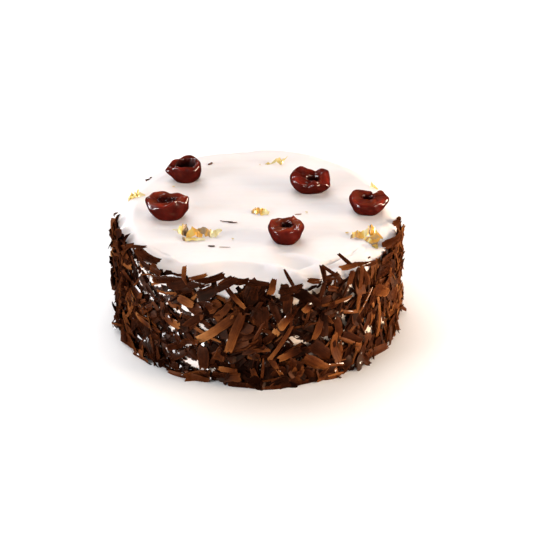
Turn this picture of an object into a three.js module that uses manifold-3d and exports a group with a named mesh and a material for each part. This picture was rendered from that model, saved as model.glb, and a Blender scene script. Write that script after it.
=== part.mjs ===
// A round black forest cake: a cream-covered sponge with chocolate shavings all round its wall,
// five halved syrup cherries and six scraps of crumpled gold leaf on its top.
// Millimetres, +Z up, the origin at the middle of the flat base, and -Y towards the viewer.
import * as THREE from "three";
import { mergeVertices } from "three/addons/utils/BufferGeometryUtils.js";
import Module from "manifold-3d";

// ---------------------------------------------------------------- driving dimensions
const CREAM_RADIUS = 76; // the cream wall, a 15 cm cake
const CREAM_HEIGHT = 60.5; // the top at its middle
const BED_DEPTH = 2.2; // the packed small shavings that hide the wall
const BED_TOP = 50; // where that bed thins out below the bare cream rim
const BASE_FLARE = 2.4; // fallen shavings banked up round the foot
const SHOULDER_WIDTH = 17; // the soft edge between top and wall
const SHOULDER_DROP = 5; // how far it falls at the sides, more in front and less at the back
const BACK_RISE = 2.6; // the cream is spread thicker towards the back
const BASE_SINK = 3; // stock below the base, cut away flat at the end

const AROUND = 64; // facets round the cake
const CLEARANCE = 0.35; // left between pieces that touch

// ---------------------------------------------------------------- helpers
const wasm = await Module();
wasm.setup();

const radians = (degrees) => (degrees * Math.PI) / 180;
const clamp = (value, low, high) => Math.min(high, Math.max(low, value));
const smooth = (value) => {
  const t = clamp(value, 0, 1);
  return t * t * (3 - 2 * t);
};

// A seeded draw: the same shavings every time.
function draws(seed) {
  let state = seed;
  return (low, high) => {
    state = (state * 1664525 + 1013904223) % 4294967296;
    return low + ((high - low) * state) / 4294967296;
  };
}

// A closed geometry from a grid of points: rows run from one pole to the other, columns close round.
function closedGrid(startPole, rows, endPole) {
  const columns = rows[0].length;
  const points = [startPole, ...rows.flat(), endPole];
  const at = (row, column) => 1 + row * columns + (column % columns);
  const end = points.length - 1;
  const faces = [];
  for (let c = 0; c < columns; c++) {
    faces.push(0, at(0, c + 1), at(0, c));
    for (let r = 0; r + 1 < rows.length; r++) {
      faces.push(at(r, c), at(r, c + 1), at(r + 1, c + 1));
      faces.push(at(r, c), at(r + 1, c + 1), at(r + 1, c));
    }
    faces.push(end, at(rows.length - 1, c), at(rows.length - 1, c + 1));
  }
  return geometryOf(points, faces);
}

function geometryOf(points, faces) {
  const geometry = new THREE.BufferGeometry();
  geometry.setAttribute("position", new THREE.Float32BufferAttribute(points.flat(), 3));
  geometry.setIndex(faces);
  return geometry;
}

function solidOf(geometry) {
  const bare = geometry.clone();
  bare.deleteAttribute("normal");
  bare.deleteAttribute("uv");
  const merged = mergeVertices(bare, 1e-4);
  return new wasm.Manifold(
    new wasm.Mesh({
      numProp: 3,
      vertProperties: new Float32Array(merged.attributes.position.array),
      triVerts: new Uint32Array(merged.index.array),
    }),
  );
}

function geometryFrom(solid) {
  const { vertProperties, triVerts } = solid.getMesh();
  const geometry = new THREE.BufferGeometry();
  geometry.setAttribute("position", new THREE.BufferAttribute(new Float32Array(vertProperties), 3));
  geometry.setIndex(new THREE.BufferAttribute(new Uint32Array(triVerts), 1));
  const flat = geometry.toNonIndexed();
  flat.computeVertexNormals();
  return flat;
}

// The largest body alone: loose scraps go, and sealed hollows are filled.
const mainBody = (solid) =>
  solid.decompose().reduce((best, body) => (body.volume() > best.volume() ? body : best));

// ---------------------------------------------------------------- the cream's top
// Folds that the palette knife pushed towards the rim. Each crest is a quadratic curve through
// three points (x, y); it rises gently on its inner side and falls steeply on its outer side.
const FOLDS = [
  { crest: [[-58, -44], [-18, -60], [14, -62]], rise: 1.5, inner: 10, outer: 3.2 },
  { crest: [[6, -56], [20, -58], [19, -72]], rise: 1.7, inner: 7, outer: 2.6 },
  { crest: [[6, -42], [28, -44], [36, -62]], rise: 1.5, inner: 8, outer: 2.6 },
  { crest: [[28, -38], [46, -42], [50, -55]], rise: 1.3, inner: 6, outer: 2.4 },
  { crest: [[46, -34], [56, -38], [58, -48]], rise: 1.2, inner: 5, outer: 2.2 },
  { crest: [[58, -14], [68, -18], [69, -30]], rise: 1.0, inner: 4, outer: 2 },
  { crest: [[-72, 2], [-66, -12], [-72, -24]], rise: 0.8, inner: 5, outer: 2.4 },
  { crest: [[-66, -24], [-58, -34], [-60, -46]], rise: 0.9, inner: 5, outer: 2.4 },
  { crest: [[-26, 66], [8, 76], [30, 66]], rise: 1.4, inner: 9, outer: 3.5 },
];
// Knife strokes run along X. Each is a soft step at its y, tilted by slope.
const STROKES = [
  { y: 56, slope: 0.02, rise: 0.45 },
  { y: 47, slope: -0.03, rise: 0.3 },
  { y: 36, slope: 0.03, rise: 0.5 },
  { y: 21, slope: 0.02, rise: 0.35 },
  { y: 8, slope: 0.05, rise: 0.55 },
  { y: -6, slope: 0.01, rise: 0.4 },
  { y: -17, slope: 0.04, rise: 0.5 },
  { y: -29, slope: 0.0, rise: 0.55 },
  { y: -41, slope: -0.02, rise: 0.5 },
];
const STROKE_WIDTH = 5;
const CREST_STEPS = 14;

function crestPoints([a, b, c]) {
  const points = [];
  for (let i = 0; i <= CREST_STEPS; i++) {
    const t = i / CREST_STEPS;
    const k = [(1 - t) * (1 - t), 2 * t * (1 - t), t * t];
    points.push([0, 1].map((axis) => k[0] * a[axis] + k[1] * b[axis] + k[2] * c[axis]));
  }
  return points;
}
for (const fold of FOLDS) fold.line = crestPoints(fold.crest);

// Height that one fold adds at (x, y): a bell of the distance to its crest, narrower outside.
function foldRise(fold, x, y) {
  let near = Infinity;
  let away = 0;
  let along = 0;
  for (let i = 0; i < CREST_STEPS; i++) {
    const [ax, ay] = fold.line[i];
    const [dx, dy] = [fold.line[i + 1][0] - ax, fold.line[i + 1][1] - ay];
    const t = clamp(((x - ax) * dx + (y - ay) * dy) / (dx * dx + dy * dy), 0, 1);
    const [ex, ey] = [x - ax - t * dx, y - ay - t * dy];
    const distance = Math.hypot(ex, ey);
    if (distance < near) {
      near = distance;
      along = (i + t) / CREST_STEPS;
      away = ex * ax + ey * ay; // positive on the side away from the cake's middle
    }
  }
  const width = away > 0 ? fold.outer : fold.inner;
  const fade = smooth(along * 4) * smooth((1 - along) * 5 + 0.4);
  return fold.rise * fade * Math.exp(-((near / width) ** 2));
}

function strokeRise(stroke, x, y) {
  const d = (y - stroke.y - stroke.slope * x) / STROKE_WIDTH;
  return stroke.rise * (d > 0 ? Math.exp(-d * d) : Math.exp(-((d * 2.4) ** 2)));
}

function creamTop(x, y) {
  const r = Math.hypot(x, y);
  const edge = Math.max(0, (r - (CREAM_RADIUS - SHOULDER_WIDTH)) / SHOULDER_WIDTH);
  let z = CREAM_HEIGHT + (BACK_RISE * (y + 12)) / CREAM_RADIUS;
  z -= SHOULDER_DROP * (1 - (0.25 * y) / CREAM_RADIUS) * edge ** 2.4;
  for (const fold of FOLDS) z += foldRise(fold, x, y);
  for (const stroke of STROKES) z += strokeRise(stroke, x, y) * (1 - smooth(edge));
  return z;
}

// The wall bellies out a little, and the bed of fine shavings makes it thicker and uneven.
function wallRadius(angle, z) {
  const bed = BED_DEPTH * (1 - smooth((z - BED_TOP) / 8));
  const uneven = 0.2 * Math.sin(7 * angle + 0.21 * z) + 0.18 * Math.sin(13 * angle - 0.35 * z + 2);
  const belly = 0.9 * Math.sin(Math.PI * clamp(z / 60, 0, 1));
  const flare = BASE_FLARE * (1 - smooth(z / 16));
  return CREAM_RADIUS + bed * (1 + uneven) + belly + flare;
}

function cakeCore() {
  const topRings = [11, 22, 32, 41, 49, 55.5, 60.5, 65, 68.5, 71.5, 74];
  const wallLevels = [53, 40, 26, 12, -BASE_SINK];
  const roughness = draws(5);
  const angles = Array.from({ length: AROUND }, (_, i) => (2 * Math.PI * i) / AROUND);
  const ring = (point) => angles.map(point);
  const rows = topRings.map((r) =>
    ring((a) => {
      const [x, y] = [r * Math.cos(a), r * Math.sin(a)];
      return [x, y, creamTop(x, y)];
    }),
  );
  for (const z of wallLevels)
    rows.push(
      ring((a) => {
        const r = wallRadius(a, z) + (z < BED_TOP ? roughness(-0.6, 0.4) : 0);
        return [r * Math.cos(a), r * Math.sin(a), z];
      }),
    );
  rows.reverse();
  return closedGrid([0, 0, -BASE_SINK], rows, [0, 0, creamTop(0, 0)]);
}

// ---------------------------------------------------------------- chocolate shavings
// One shaving is a thin strip: it bends along its length, tapers to its far end and stands off the wall.
// angle: degrees round the cake (-90 faces the viewer), z: height, turn: degrees from level,
// lift: how far its middle stands off the wall, lean: degrees that its far end tips outwards.
const SHAVING_THICKNESS = 1.3;

function shavingGeometry({ angle, z, length, width, turn, lift, lean, bend, taper, stations }) {
  const a = radians(angle);
  const out = new THREE.Vector3(Math.cos(a), Math.sin(a), 0);
  const side = new THREE.Vector3(-Math.sin(a), Math.cos(a), 0);
  const up = new THREE.Vector3(0, 0, 1);
  const t = radians(turn);
  const along = side.clone().multiplyScalar(Math.cos(t)).addScaledVector(up, Math.sin(t));
  const across = side.clone().multiplyScalar(-Math.sin(t)).addScaledVector(up, Math.cos(t));
  const tip = radians(lean);
  const run = along.clone().multiplyScalar(Math.cos(tip)).addScaledVector(out, Math.sin(tip));
  const face = out.clone().multiplyScalar(Math.cos(tip)).addScaledVector(along, -Math.sin(tip));
  const centre = out.clone().multiplyScalar(wallRadius(a, z) + lift);
  centre.z = z;
  const points = [];
  for (let i = 0; i < stations; i++) {
    const s = i / (stations - 1) - 0.5;
    const half = 0.5 * width * (1 - taper * Math.abs(s + 0.25));
    const rise = bend * (4 * s * s - 0.5);
    for (const [v, w] of [[-1, -1], [1, -1], [1, 1], [-1, 1]]) {
      const p = centre
        .clone()
        .addScaledVector(run, s * length)
        .addScaledVector(across, v * half)
        .addScaledVector(face, rise + (w * SHAVING_THICKNESS) / 2);
      points.push([p.x, p.y, p.z]);
    }
  }
  const faces = [0, 2, 1, 0, 3, 2];
  for (let i = 0; i + 1 < stations; i++)
    for (let k = 0; k < 4; k++) {
      const [p, q] = [4 * i + k, 4 * i + ((k + 1) % 4)];
      faces.push(p, q, q + 4, p, q + 4, p + 4);
    }
  const last = 4 * (stations - 1);
  faces.push(last, last + 1, last + 2, last, last + 2, last + 3);
  return geometryOf(points, faces);
}

// The large ones that face the viewer: angle, height, length, width, turn, lift, lean.
const LARGE_SHAVINGS = [
  [-106, 33.5, 30, 6, 46, 2.6, -4],
  [-98, 34, 25, 5.5, 74, 2.4, 3],
  [-98, 52.5, 14, 3.5, -58, 1.6, 2],
  [-92.5, 53, 11, 9, 80, 0.9, 0],
  [-89.5, 42, 12, 8, -86, 1.2, 3],
  [-108, 59.5, 17, 3.6, 20, 1.2, 0],
  [-115, 58.5, 10, 2.6, 8, 1.0, 2],
  [-102, 58.5, 8, 2.8, 44, 1.2, 0],
  [-96, 58.5, 13, 2.8, -8, 1.1, 0],
  [-84, 57.5, 11, 3, 82, 1.4, 3],
  [-100, 10.5, 13, 4, -8, 1.8, 0],
  [-111, 11, 17, 7, 87, 1.3, 0],
  [-117.5, 46, 9, 7, -30, 1.8, 2],
  [-84.5, 21.5, 25, 2.4, 56, 2.6, 2],
  [-80, 41, 20, 5, 53, 2.3, -3],
  [-78.3, 61, 10, 2, 105, 1.2, -2],
  [-66.5, 56.5, 21, 2, 80, 1.9, -3],
  [-60.5, 59.5, 15, 2.2, -52, 1.5, 0],
  [-77, 56.5, 17, 4.6, 17, 1.5, 0],
  [-80, 52, 8, 6, 80, 0.9, 0],
  [-71, 44.5, 11, 5, 38, 1.8, -2],
  [-66.5, 34, 17, 4, 72, 1.9, -2],
  [-78.5, 20, 14, 5.5, 30, 2.0, 0],
  [-65, 19, 21, 7, -28, 1.9, 0],
  [-66, 10.5, 18, 6, -24, 2.6, 2],
  [-70.5, 5.5, 9, 5, -50, 1.6, 0],
  [-63, 2.6, 15, 3.4, 8, 1.8, 0],
  [-37, 22, 31, 3, 90, 3.0, 0],
  [-35, 40, 13, 8, -20, 2.4, 2],
  [-49.3, 46, 31, 3.5, 88, 2.2, 0],
  [-45.5, 39.5, 16, 2, 42, 2.8, 2],
  [-55, 37, 14, 3.2, -4, 2.0, 0],
  [-52, 58.5, 13, 4, 6, 1.5, 0],
  [-51, 61, 10, 2.8, 102, 1.0, 0],
  [-31, 59, 15, 4.6, 24, 1.3, 0],
  [-30, 52, 13, 3, 60, 1.6, 2],
  [-50, 16, 27, 2.2, -32, 2.4, 0],
  [-54, 5.5, 14, 3, 4, 1.8, 0],
  [-142, 56, 20, 6.5, -18, 1.2, 0],
  [-126, 53.5, 16, 8, -4, 1.4, 0],
  [-119.5, 58.5, 12, 2.6, -62, 1.4, 0],
  [-142, 21, 18, 3.4, -28, 2.2, 0],
  [-124.5, 30, 14, 5, -14, 2.2, 0],
  [-157, 60, 9, 2.6, 40, 1.0, 0],
  [-133, 40, 14, 4, -62, 1.5, 0],
  [-150, 38, 16, 5, 82, 1.4, 0],
  [-113, 3.5, 16, 4, -6, 1.6, 0],
];

// The rest: staggered rows up the wall, turned every way, left out where a large one already lies.
const SCATTER_LEVELS = [3.5, 11, 18.5, 26, 33.5, 41, 48.5, 55.5];
const SCATTER_AROUND = 24;
const RIM_CAP = 59.5; // shavings stop below this, 3 mm higher in front and lower at the back

function scatteredShavings() {
  const draw = draws(20250);
  const scattered = [];
  SCATTER_LEVELS.forEach((level, row) => {
    for (let k = 0; k < SCATTER_AROUND; k++) {
      const angle = ((k + (row % 2) / 2 + draw(-0.3, 0.3)) * 360) / SCATTER_AROUND - 180;
      const shaving = {
        angle,
        z: level + draw(-2.5, 2.5),
        length: draw(11, 21),
        width: draw(2.8, 7.2),
        turn: draw(-80, 80),
        lift: draw(0.4, 1.5),
        lean: draw(-5, 5),
        bend: draw(-0.9, 0.9),
        taper: draw(0, 0.6),
        stations: 3,
      };
      const reach = (shaving.length / 2) * Math.abs(Math.sin(radians(shaving.turn)));
      shaving.z = Math.min(shaving.z, RIM_CAP - 3 * Math.sin(radians(angle)) - reach);
      const crowded = LARGE_SHAVINGS.some(
        ([a, z]) => Math.hypot((a - angle) * 1.35, z - shaving.z) < 7,
      );
      if (!crowded) scattered.push(shaving);
    }
  });
  return scattered;
}

function largeShavings() {
  const draw = draws(77);
  return LARGE_SHAVINGS.map(([angle, z, length, width, turn, lift, lean]) => ({
    angle, z, length, width, turn, lift, lean,
    bend: draw(-0.6, 0.8),
    taper: draw(0, 0.3),
    stations: 4,
  }));
}

// ---------------------------------------------------------------- syrup cherries
// A halved, stoned cherry: a bowl standing on its round back, with the cut face up and the
// stone's hollow in it. Rows of its wall are [share of the radius, share of the height].
const CHERRY_WALL = [
  [0.36, 0.02], [0.63, 0.12], [0.83, 0.31], [0.95, 0.56], [1, 0.82], [0.95, 0.96], [0.85, 1],
];
const CHERRY_AROUND = 16;
const CHERRY_SEAT = 1.2; // how deep it sits in the cream

// x, y: its place; wide, deep, tall: its size above the cream; spin: degrees;
// tip: degrees that its cut face leans back; pit, hollow: the stone's hollow as shares of the
// radius and height; bumps: [angle, outwards, upwards, sharpness] of each lobe, point or notch.
const CHERRIES = {
  cherry_front: {
    x: 14.9, y: -30.7, wide: 18, deep: 16.5, tall: 10, spin: 0, tip: 8, pit: 0.46, hollow: 0.5,
    bumps: [[52, 0.03, 0.12, 14], [215, 0.03, -0.04, 5]],
  },
  cherry_left: {
    x: -48.7, y: -5.7, wide: 22, deep: 15.6, tall: 10.6, spin: -4, tip: -3, pit: 0.62, hollow: 0.5,
    bumps: [[12, 0.1, 0.02, 12], [95, -0.08, 0.02, 4], [250, -0.05, -0.1, 5]],
  },
  cherry_back_left: {
    x: -40.6, y: 35.6, wide: 18.4, deep: 15.4, tall: 10, spin: 0, tip: -3, pit: 0.66, hollow: 0.72,
    bumps: [[188, 0.12, -0.08, 14], [50, 0.04, 0.1, 5], [115, -0.04, 0.04, 5]],
  },
  cherry_back_right: {
    x: 29.7, y: 24.4, wide: 21.4, deep: 19, tall: 7.6, spin: -4, tip: -2, pit: 0.3, hollow: 0.6,
    bumps: [[80, -0.2, -0.2, 8], [140, 0.05, 0.2, 4], [-70, -0.08, 0.04, 5], [-15, 0.06, -0.04, 6]],
  },
  cherry_right: {
    x: 59.9, y: 0.2, wide: 20, deep: 17.3, tall: 8.6, spin: 0, tip: 2, pit: 0.36, hollow: 0.5,
    bumps: [[60, -0.24, -0.14, 12], [5, 0.06, -0.02, 10], [155, 0.03, 0, 4]],
  },
};

// A point of the cherry at a share of its radius and height and a turn round it, grown by a margin.
function cherryPoint(cherry, [share, height], turn, margin = 0) {
  let out = 1;
  let rise = 1;
  for (const [angle, outwards, upwards, sharpness] of cherry.bumps) {
    const near = Math.exp((Math.cos(turn - radians(angle)) - 1) * sharpness);
    out += outwards * near * share * smooth(height * 1.6);
    rise += upwards * near * share * height;
  }
  const total = cherry.tall + CHERRY_SEAT;
  const lx = ((share * out * cherry.wide) / 2 + (share > 0 ? margin : 0)) * Math.cos(turn);
  const ly = ((share * out * cherry.deep) / 2 + (share > 0 ? margin : 0)) * Math.sin(turn);
  const lz = total * height * rise - height * Math.tan(radians(cherry.tip)) * ly - margin;
  const [cs, sn] = [Math.cos(radians(cherry.spin)), Math.sin(radians(cherry.spin))];
  const seat = creamTop(cherry.x, cherry.y) - CHERRY_SEAT;
  return [cherry.x + cs * lx - sn * ly, cherry.y + sn * lx + cs * ly, seat + lz];
}

function cherryRows(cherry, profile, margin = 0) {
  return profile.map((station) =>
    Array.from({ length: CHERRY_AROUND }, (_, i) =>
      cherryPoint(cherry, station, (2 * Math.PI * i) / CHERRY_AROUND, margin),
    ),
  );
}

function cherryGeometry(cherry) {
  const { pit, hollow } = cherry;
  const profile = [
    ...CHERRY_WALL,
    [(pit + 0.85) / 2, 0.99], [pit, 0.95], [pit * 0.78, 1 - 0.55 * hollow], [pit * 0.42, 1 - 0.88 * hollow],
  ];
  return closedGrid(
    cherryPoint(cherry, [0, 0], 0),
    cherryRows(cherry, profile),
    cherryPoint(cherry, [0, 1 - hollow], 0),
  );
}

// The pocket that a cherry presses into the cream: its back, a little larger, filled level.
function cherrySeat(cherry) {
  return closedGrid(
    cherryPoint(cherry, [0, 0], 0, CLEARANCE),
    cherryRows(cherry, CHERRY_WALL.slice(0, 4), CLEARANCE),
    cherryPoint(cherry, [0, CHERRY_WALL[3][1]], 0, CLEARANCE),
  );
}

// ---------------------------------------------------------------- gold leaf
// A scrap of leaf is a thin sheet, crumpled into waves, with a ragged outline.
const LEAF_THICKNESS = 0.35;
const LEAVES = {
  gold_leaf_front: { x: -32, y: -28.5, length: 22, width: 9, spin: -10, crumple: 4, cells: [9, 4] },
  gold_leaf_right: { x: 58, y: -29, length: 16, width: 10, spin: -30, crumple: 4, cells: [7, 4] },
  gold_leaf_centre: { x: 1.5, y: -3, length: 9.5, width: 5, spin: -8, crumple: 1.8, cells: [5, 3] },
  gold_leaf_left: { x: -66.5, y: 15.5, length: 8, width: 6, spin: 12, crumple: 2, cells: [5, 3] },
  gold_leaf_back: { x: 11, y: 53.5, length: 13, width: 5, spin: 14, crumple: 2, cells: [6, 3] },
  gold_leaf_back_right: { x: 64, y: 26.5, length: 6, width: 4.5, spin: -50, crumple: 1.4, cells: [4, 3] },
};

function leafGeometry(leaf, seed) {
  const draw = draws(seed);
  const [nu, nv] = leaf.cells;
  const [cs, sn] = [Math.cos(radians(leaf.spin)), Math.sin(radians(leaf.spin))];
  const sheet = [];
  for (let i = 0; i <= nu; i++)
    for (let j = 0; j <= nv; j++) {
      const u = i / nu - 0.5;
      const v = j / nv - 0.5;
      const ragged = 0.75 + 0.35 * Math.sin(9 * u + seed) + draw(-0.12, 0.12);
      const lx = leaf.length * (u + draw(-0.02, 0.02));
      const ly = leaf.width * (v * ragged + 0.18 * Math.sin(6 * u + seed));
      const fold = 0.5 + 0.5 * Math.sin(13 * u + 5 * v + seed) * Math.cos(7 * v - 4 * u);
      const x = leaf.x + cs * lx - sn * ly;
      const y = leaf.y + sn * lx + cs * ly;
      sheet.push([x, y, creamTop(x, y) + CLEARANCE + 0.25 + leaf.crumple * fold * draw(0.75, 1)]);
    }
  const count = sheet.length;
  const points = [...sheet, ...sheet.map(([x, y, z]) => [x, y, z + LEAF_THICKNESS])];
  const at = (i, j) => i * (nv + 1) + j;
  const faces = [];
  const quad = (a, b, c, d) => faces.push(a, b, c, a, c, d);
  for (let i = 0; i < nu; i++)
    for (let j = 0; j < nv; j++) {
      const [a, b, c, d] = [at(i, j), at(i + 1, j), at(i + 1, j + 1), at(i, j + 1)];
      faces.push(a, c, b, a, d, c);
      quad(a + count, b + count, c + count, d + count);
    }
  for (let i = 0; i < nu; i++) {
    quad(at(i, 0), at(i + 1, 0), at(i + 1, 0) + count, at(i, 0) + count);
    quad(at(i + 1, nv), at(i, nv), at(i, nv) + count, at(i + 1, nv) + count);
  }
  for (let j = 0; j < nv; j++) {
    quad(at(0, j + 1), at(0, j), at(0, j) + count, at(0, j + 1) + count);
    quad(at(nu, j), at(nu, j + 1), at(nu, j + 1) + count, at(nu, j) + count);
  }
  return geometryOf(points, faces);
}

// ---------------------------------------------------------------- the cake
function cakeSolid() {
  let core = solidOf(cakeCore());
  for (const cherry of Object.values(CHERRIES)) core = core.subtract(solidOf(cherrySeat(cherry)));
  const shavings = [...largeShavings(), ...scatteredShavings()];
  for (const shaving of shavings) core = core.add(solidOf(shavingGeometry(shaving)));
  const below = new THREE.BoxGeometry(300, 300, 40).translate(0, 0, -20);
  return mainBody(core.subtract(solidOf(below)));
}

const MATERIALS = {
  cake: { color: 0x4a2a1a, roughness: 0.55, metalness: 0 },
  cherry: { color: 0x5a120c, roughness: 0.2, metalness: 0 },
  gold: { color: 0xe0b04a, roughness: 0.25, metalness: 1 },
};

function piece(name, geometry, finish) {
  const mesh = new THREE.Mesh(geometry, new THREE.MeshStandardMaterial(MATERIALS[finish]));
  mesh.name = name;
  return mesh;
}

const cake = new THREE.Group();
cake.add(piece("cake", geometryFrom(cakeSolid()), "cake"));
for (const [name, cherry] of Object.entries(CHERRIES))
  cake.add(piece(name, cherryGeometry(cherry), "cherry"));
Object.entries(LEAVES).forEach(([name, leaf], i) =>
  cake.add(piece(name, leafGeometry(leaf, 11 + i), "gold")),
);

export default cake;
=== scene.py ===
"""A round black forest cake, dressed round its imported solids.

The cream is one surface over radius and angle, made uneven by knife strokes and folds. The wall's
chocolate is thousands of thin curved strips, all made by one strip function. Cherries are cups turned
round a profile, and gold leaf is creased ribbon. Shapes are worked out in millimetres and stored in
metres.
"""

import math

import bpy
import numpy as np
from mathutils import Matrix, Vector


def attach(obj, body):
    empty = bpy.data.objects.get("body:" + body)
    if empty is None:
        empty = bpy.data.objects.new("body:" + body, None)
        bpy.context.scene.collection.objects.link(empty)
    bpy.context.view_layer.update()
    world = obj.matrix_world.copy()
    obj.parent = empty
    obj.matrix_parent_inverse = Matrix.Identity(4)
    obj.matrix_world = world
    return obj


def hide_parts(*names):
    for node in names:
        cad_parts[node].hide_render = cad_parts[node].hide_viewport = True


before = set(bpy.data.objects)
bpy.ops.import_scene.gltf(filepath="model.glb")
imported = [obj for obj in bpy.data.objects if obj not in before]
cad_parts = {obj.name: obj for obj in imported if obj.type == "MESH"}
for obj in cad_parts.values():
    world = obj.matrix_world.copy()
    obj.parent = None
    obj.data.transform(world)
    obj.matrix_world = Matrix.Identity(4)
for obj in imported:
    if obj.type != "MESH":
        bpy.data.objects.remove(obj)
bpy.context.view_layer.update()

MM = 0.001
TAU = 2 * math.pi
GOLDEN_ANGLE_DEG = 137.50776  # steps of it spread things evenly round the cake
BODY = "root"
# Seeds of the random draws; a cherry's or a leaf's own number is added to its kind's.
SEEDS = dict(streaks=7, chocolate=41, scraps=5, specks=9, cherries=100, leaves=200)

# ------------------------------------------------------------------ driving sizes, millimetres
CREAM_RADIUS = 76.0
CREAM_HEIGHT = 60.5
BACK_RISE = 2.6  # the cream is spread thicker towards the back
RIM_RADIUS = 75.0  # where the top turns down into the wall
WALL_BELLY = 0.9
BASE_FLARE = 2.6  # how far the chocolate spreads at the foot
BED_RADIUS = 77.0  # where the shavings start
LIMIT_RADIUS = 80.8  # shavings that would stand further out are bent back
WALL_HEIGHT = 60.0  # shavings that reach higher fold in over the cream


def smooth(t):
    """Smoothstep: 3t^2 - 2t^3 of t held between 0 and 1."""
    t = np.clip(t, 0, 1)
    return t * t * (3 - 2 * t)


def unit(angle_deg):
    """Cosine and sine of an angle in degrees."""
    a = np.radians(angle_deg)
    return np.cos(a), np.sin(a)


def catmull_rom(a, b, c, d, t):
    """Catmull-Rom curve between b and c at t from 0 to 1; a comes before b, and d after c."""
    return 0.5 * (2 * b + (c - a) * t + (2 * a - 5 * b + 4 * c - d) * t**2 + (3 * b - a - 3 * c + d) * t**3)


def smooth_path(points, steps):
    """Catmull-Rom curve through the points: `steps` points between each two."""
    p = np.array(points, float)
    p = np.concatenate([[2 * p[0] - p[1]], p, [2 * p[-1] - p[-2]]])
    t = np.linspace(0, 1, steps, endpoint=False)[None, :, None]
    a, b, c, d = (p[i:len(p) - 3 + i][:, None, :] for i in range(4))
    curve = catmull_rom(a, b, c, d, t)
    return np.concatenate([curve.reshape(-1, p.shape[1]), p[-2:-1]])


def evenly_round(count, stray_deg, rng):
    """Angles of `count` things at golden-angle steps, each moved by up to `stray_deg`."""
    return (np.arange(count) * GOLDEN_ANGLE_DEG + rng.uniform(-stray_deg, stray_deg, count)) % 360 - 180


def round_the_cake(table, angle_deg):
    """Columns of a table of (angle, values...) at other angles, in straight steps between the rows."""
    table = np.array(table, float)
    return [np.interp(angle_deg, table[:, 0], column) for column in table[:, 1:].T]


# ------------------------------------------------------------------ the cream's top
# Where the flat top ends and the cream falls to the rim, by angle (-90 faces the viewer): the radius
# there, and the fall by the rim.
SHOULDER = [
    (-180, 66, 3.0), (-150, 68, 2.5), (-136, 67, 3.0), (-120, 61, 4.4), (-107, 54.5, 5.6), (-92, 54, 5.8),
    (-82, 59, 5.4), (-70, 63, 5.0), (-50, 65, 4.2), (-20, 68, 2.6), (30, 66, 3.2), (90, 65, 3.2),
    (150, 66, 3.4), (180, 66, 3.6),
]
SHOULDER_POWER = 1.45
# Folds the palette knife pushed towards the rim. A fold is a crest through points (x, y) with its rise,
# its spread on the side towards the middle and on the outer side, and outside it a hollow that is
# deepest at `reach`.
FOLDS = [
    dict(crest=[(-52, -46), (-32, -54), (-16, -52), (0, -54), (8, -58), (12, -66)],
         rise=0.55, inner=8, outer=2.2, hollow=1.9, reach=8),
    dict(crest=[(9, -42.5), (23, -46.5), (31, -52), (35, -61)],
         rise=0.8, inner=8, outer=1.8, hollow=1.5, reach=6),
    dict(crest=[(3, -55), (15, -61), (22, -67), (27, -76)],
         rise=2.2, inner=3.2, outer=3.4, hollow=0.3, reach=2),
    dict(crest=[(30, -55), (32, -61), (32, -70)], rise=1.3, inner=2.0, outer=2.2, hollow=0.4, reach=3),
    dict(crest=[(31, -40), (43, -44.5), (50, -54)], rise=0.5, inner=7, outer=3.0, hollow=0.4, reach=5),
    dict(crest=[(38, -55), (42, -60), (44, -68)], rise=1.4, inner=2.4, outer=2.2, hollow=0.3, reach=2),
    dict(crest=[(45, -36), (54, -40), (58, -50)], rise=0.4, inner=5, outer=2.6, hollow=0.3, reach=4),
    dict(crest=[(53, -32), (62, -37), (64, -46)], rise=0.3, inner=4, outer=2.4, hollow=0.2, reach=3),
    dict(crest=[(62, -14), (68, -20), (68, -33)], rise=0.5, inner=5, outer=2.0, hollow=0.4, reach=3),
    dict(crest=[(-48, -52), (-41, -45), (-28, -43)], rise=0.3, inner=5, outer=2.4, hollow=0.3, reach=4),
    dict(crest=[(-74, 4), (-68, -6), (-70, -20)], rise=0.4, inner=6, outer=2.4, hollow=0.2, reach=3),
    dict(crest=[(-70, -20), (-62, -30), (-60, -44)], rise=0.4, inner=6, outer=2.6, hollow=0.3, reach=4),
    dict(crest=[(-52, 52), (-34, 64), (-10, 66)], rise=0.6, inner=9, outer=3, hollow=0.8, reach=4),
    dict(crest=[(-12, 66), (6, 73), (20, 70), (38, 62)], rise=1.1, inner=8, outer=3, hollow=0.6, reach=3),
    dict(crest=[(44, 56), (58, 44), (66, 30)], rise=0.7, inner=7, outer=2.4, hollow=0.8, reach=4),
]
CREST_STEPS = 5
# Knife strokes run nearly along X: (y, slope, first x, last x, rise, width).
STROKES = [
    (58, -0.04, -30, 34, 0.20, 4), (50, 0.05, -48, 10, 0.26, 4), (41, -0.03, -4, 52, 0.20, 5),
    (34, 0.03, -60, -8, 0.22, 4), (22, 0.05, -34, 24, 0.26, 4), (15, -0.02, 34, 70, 0.24, 4),
    (7, 0.06, -40, 46, 0.30, 4), (-3, 0.02, -24, 10, 0.20, 3), (-8, -0.05, 18, 60, 0.26, 4),
    (-15, 0.05, -66, -16, 0.24, 4), (-20, 0.02, -18, 14, 0.22, 3), (-27, 0.0, 20, 56, 0.30, 4),
    (-31, 0.03, -58, 2, 0.28, 4), (-38, -0.02, -30, 34, 0.26, 4), (-46, 0.02, -44, 6, 0.20, 4),
]


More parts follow.
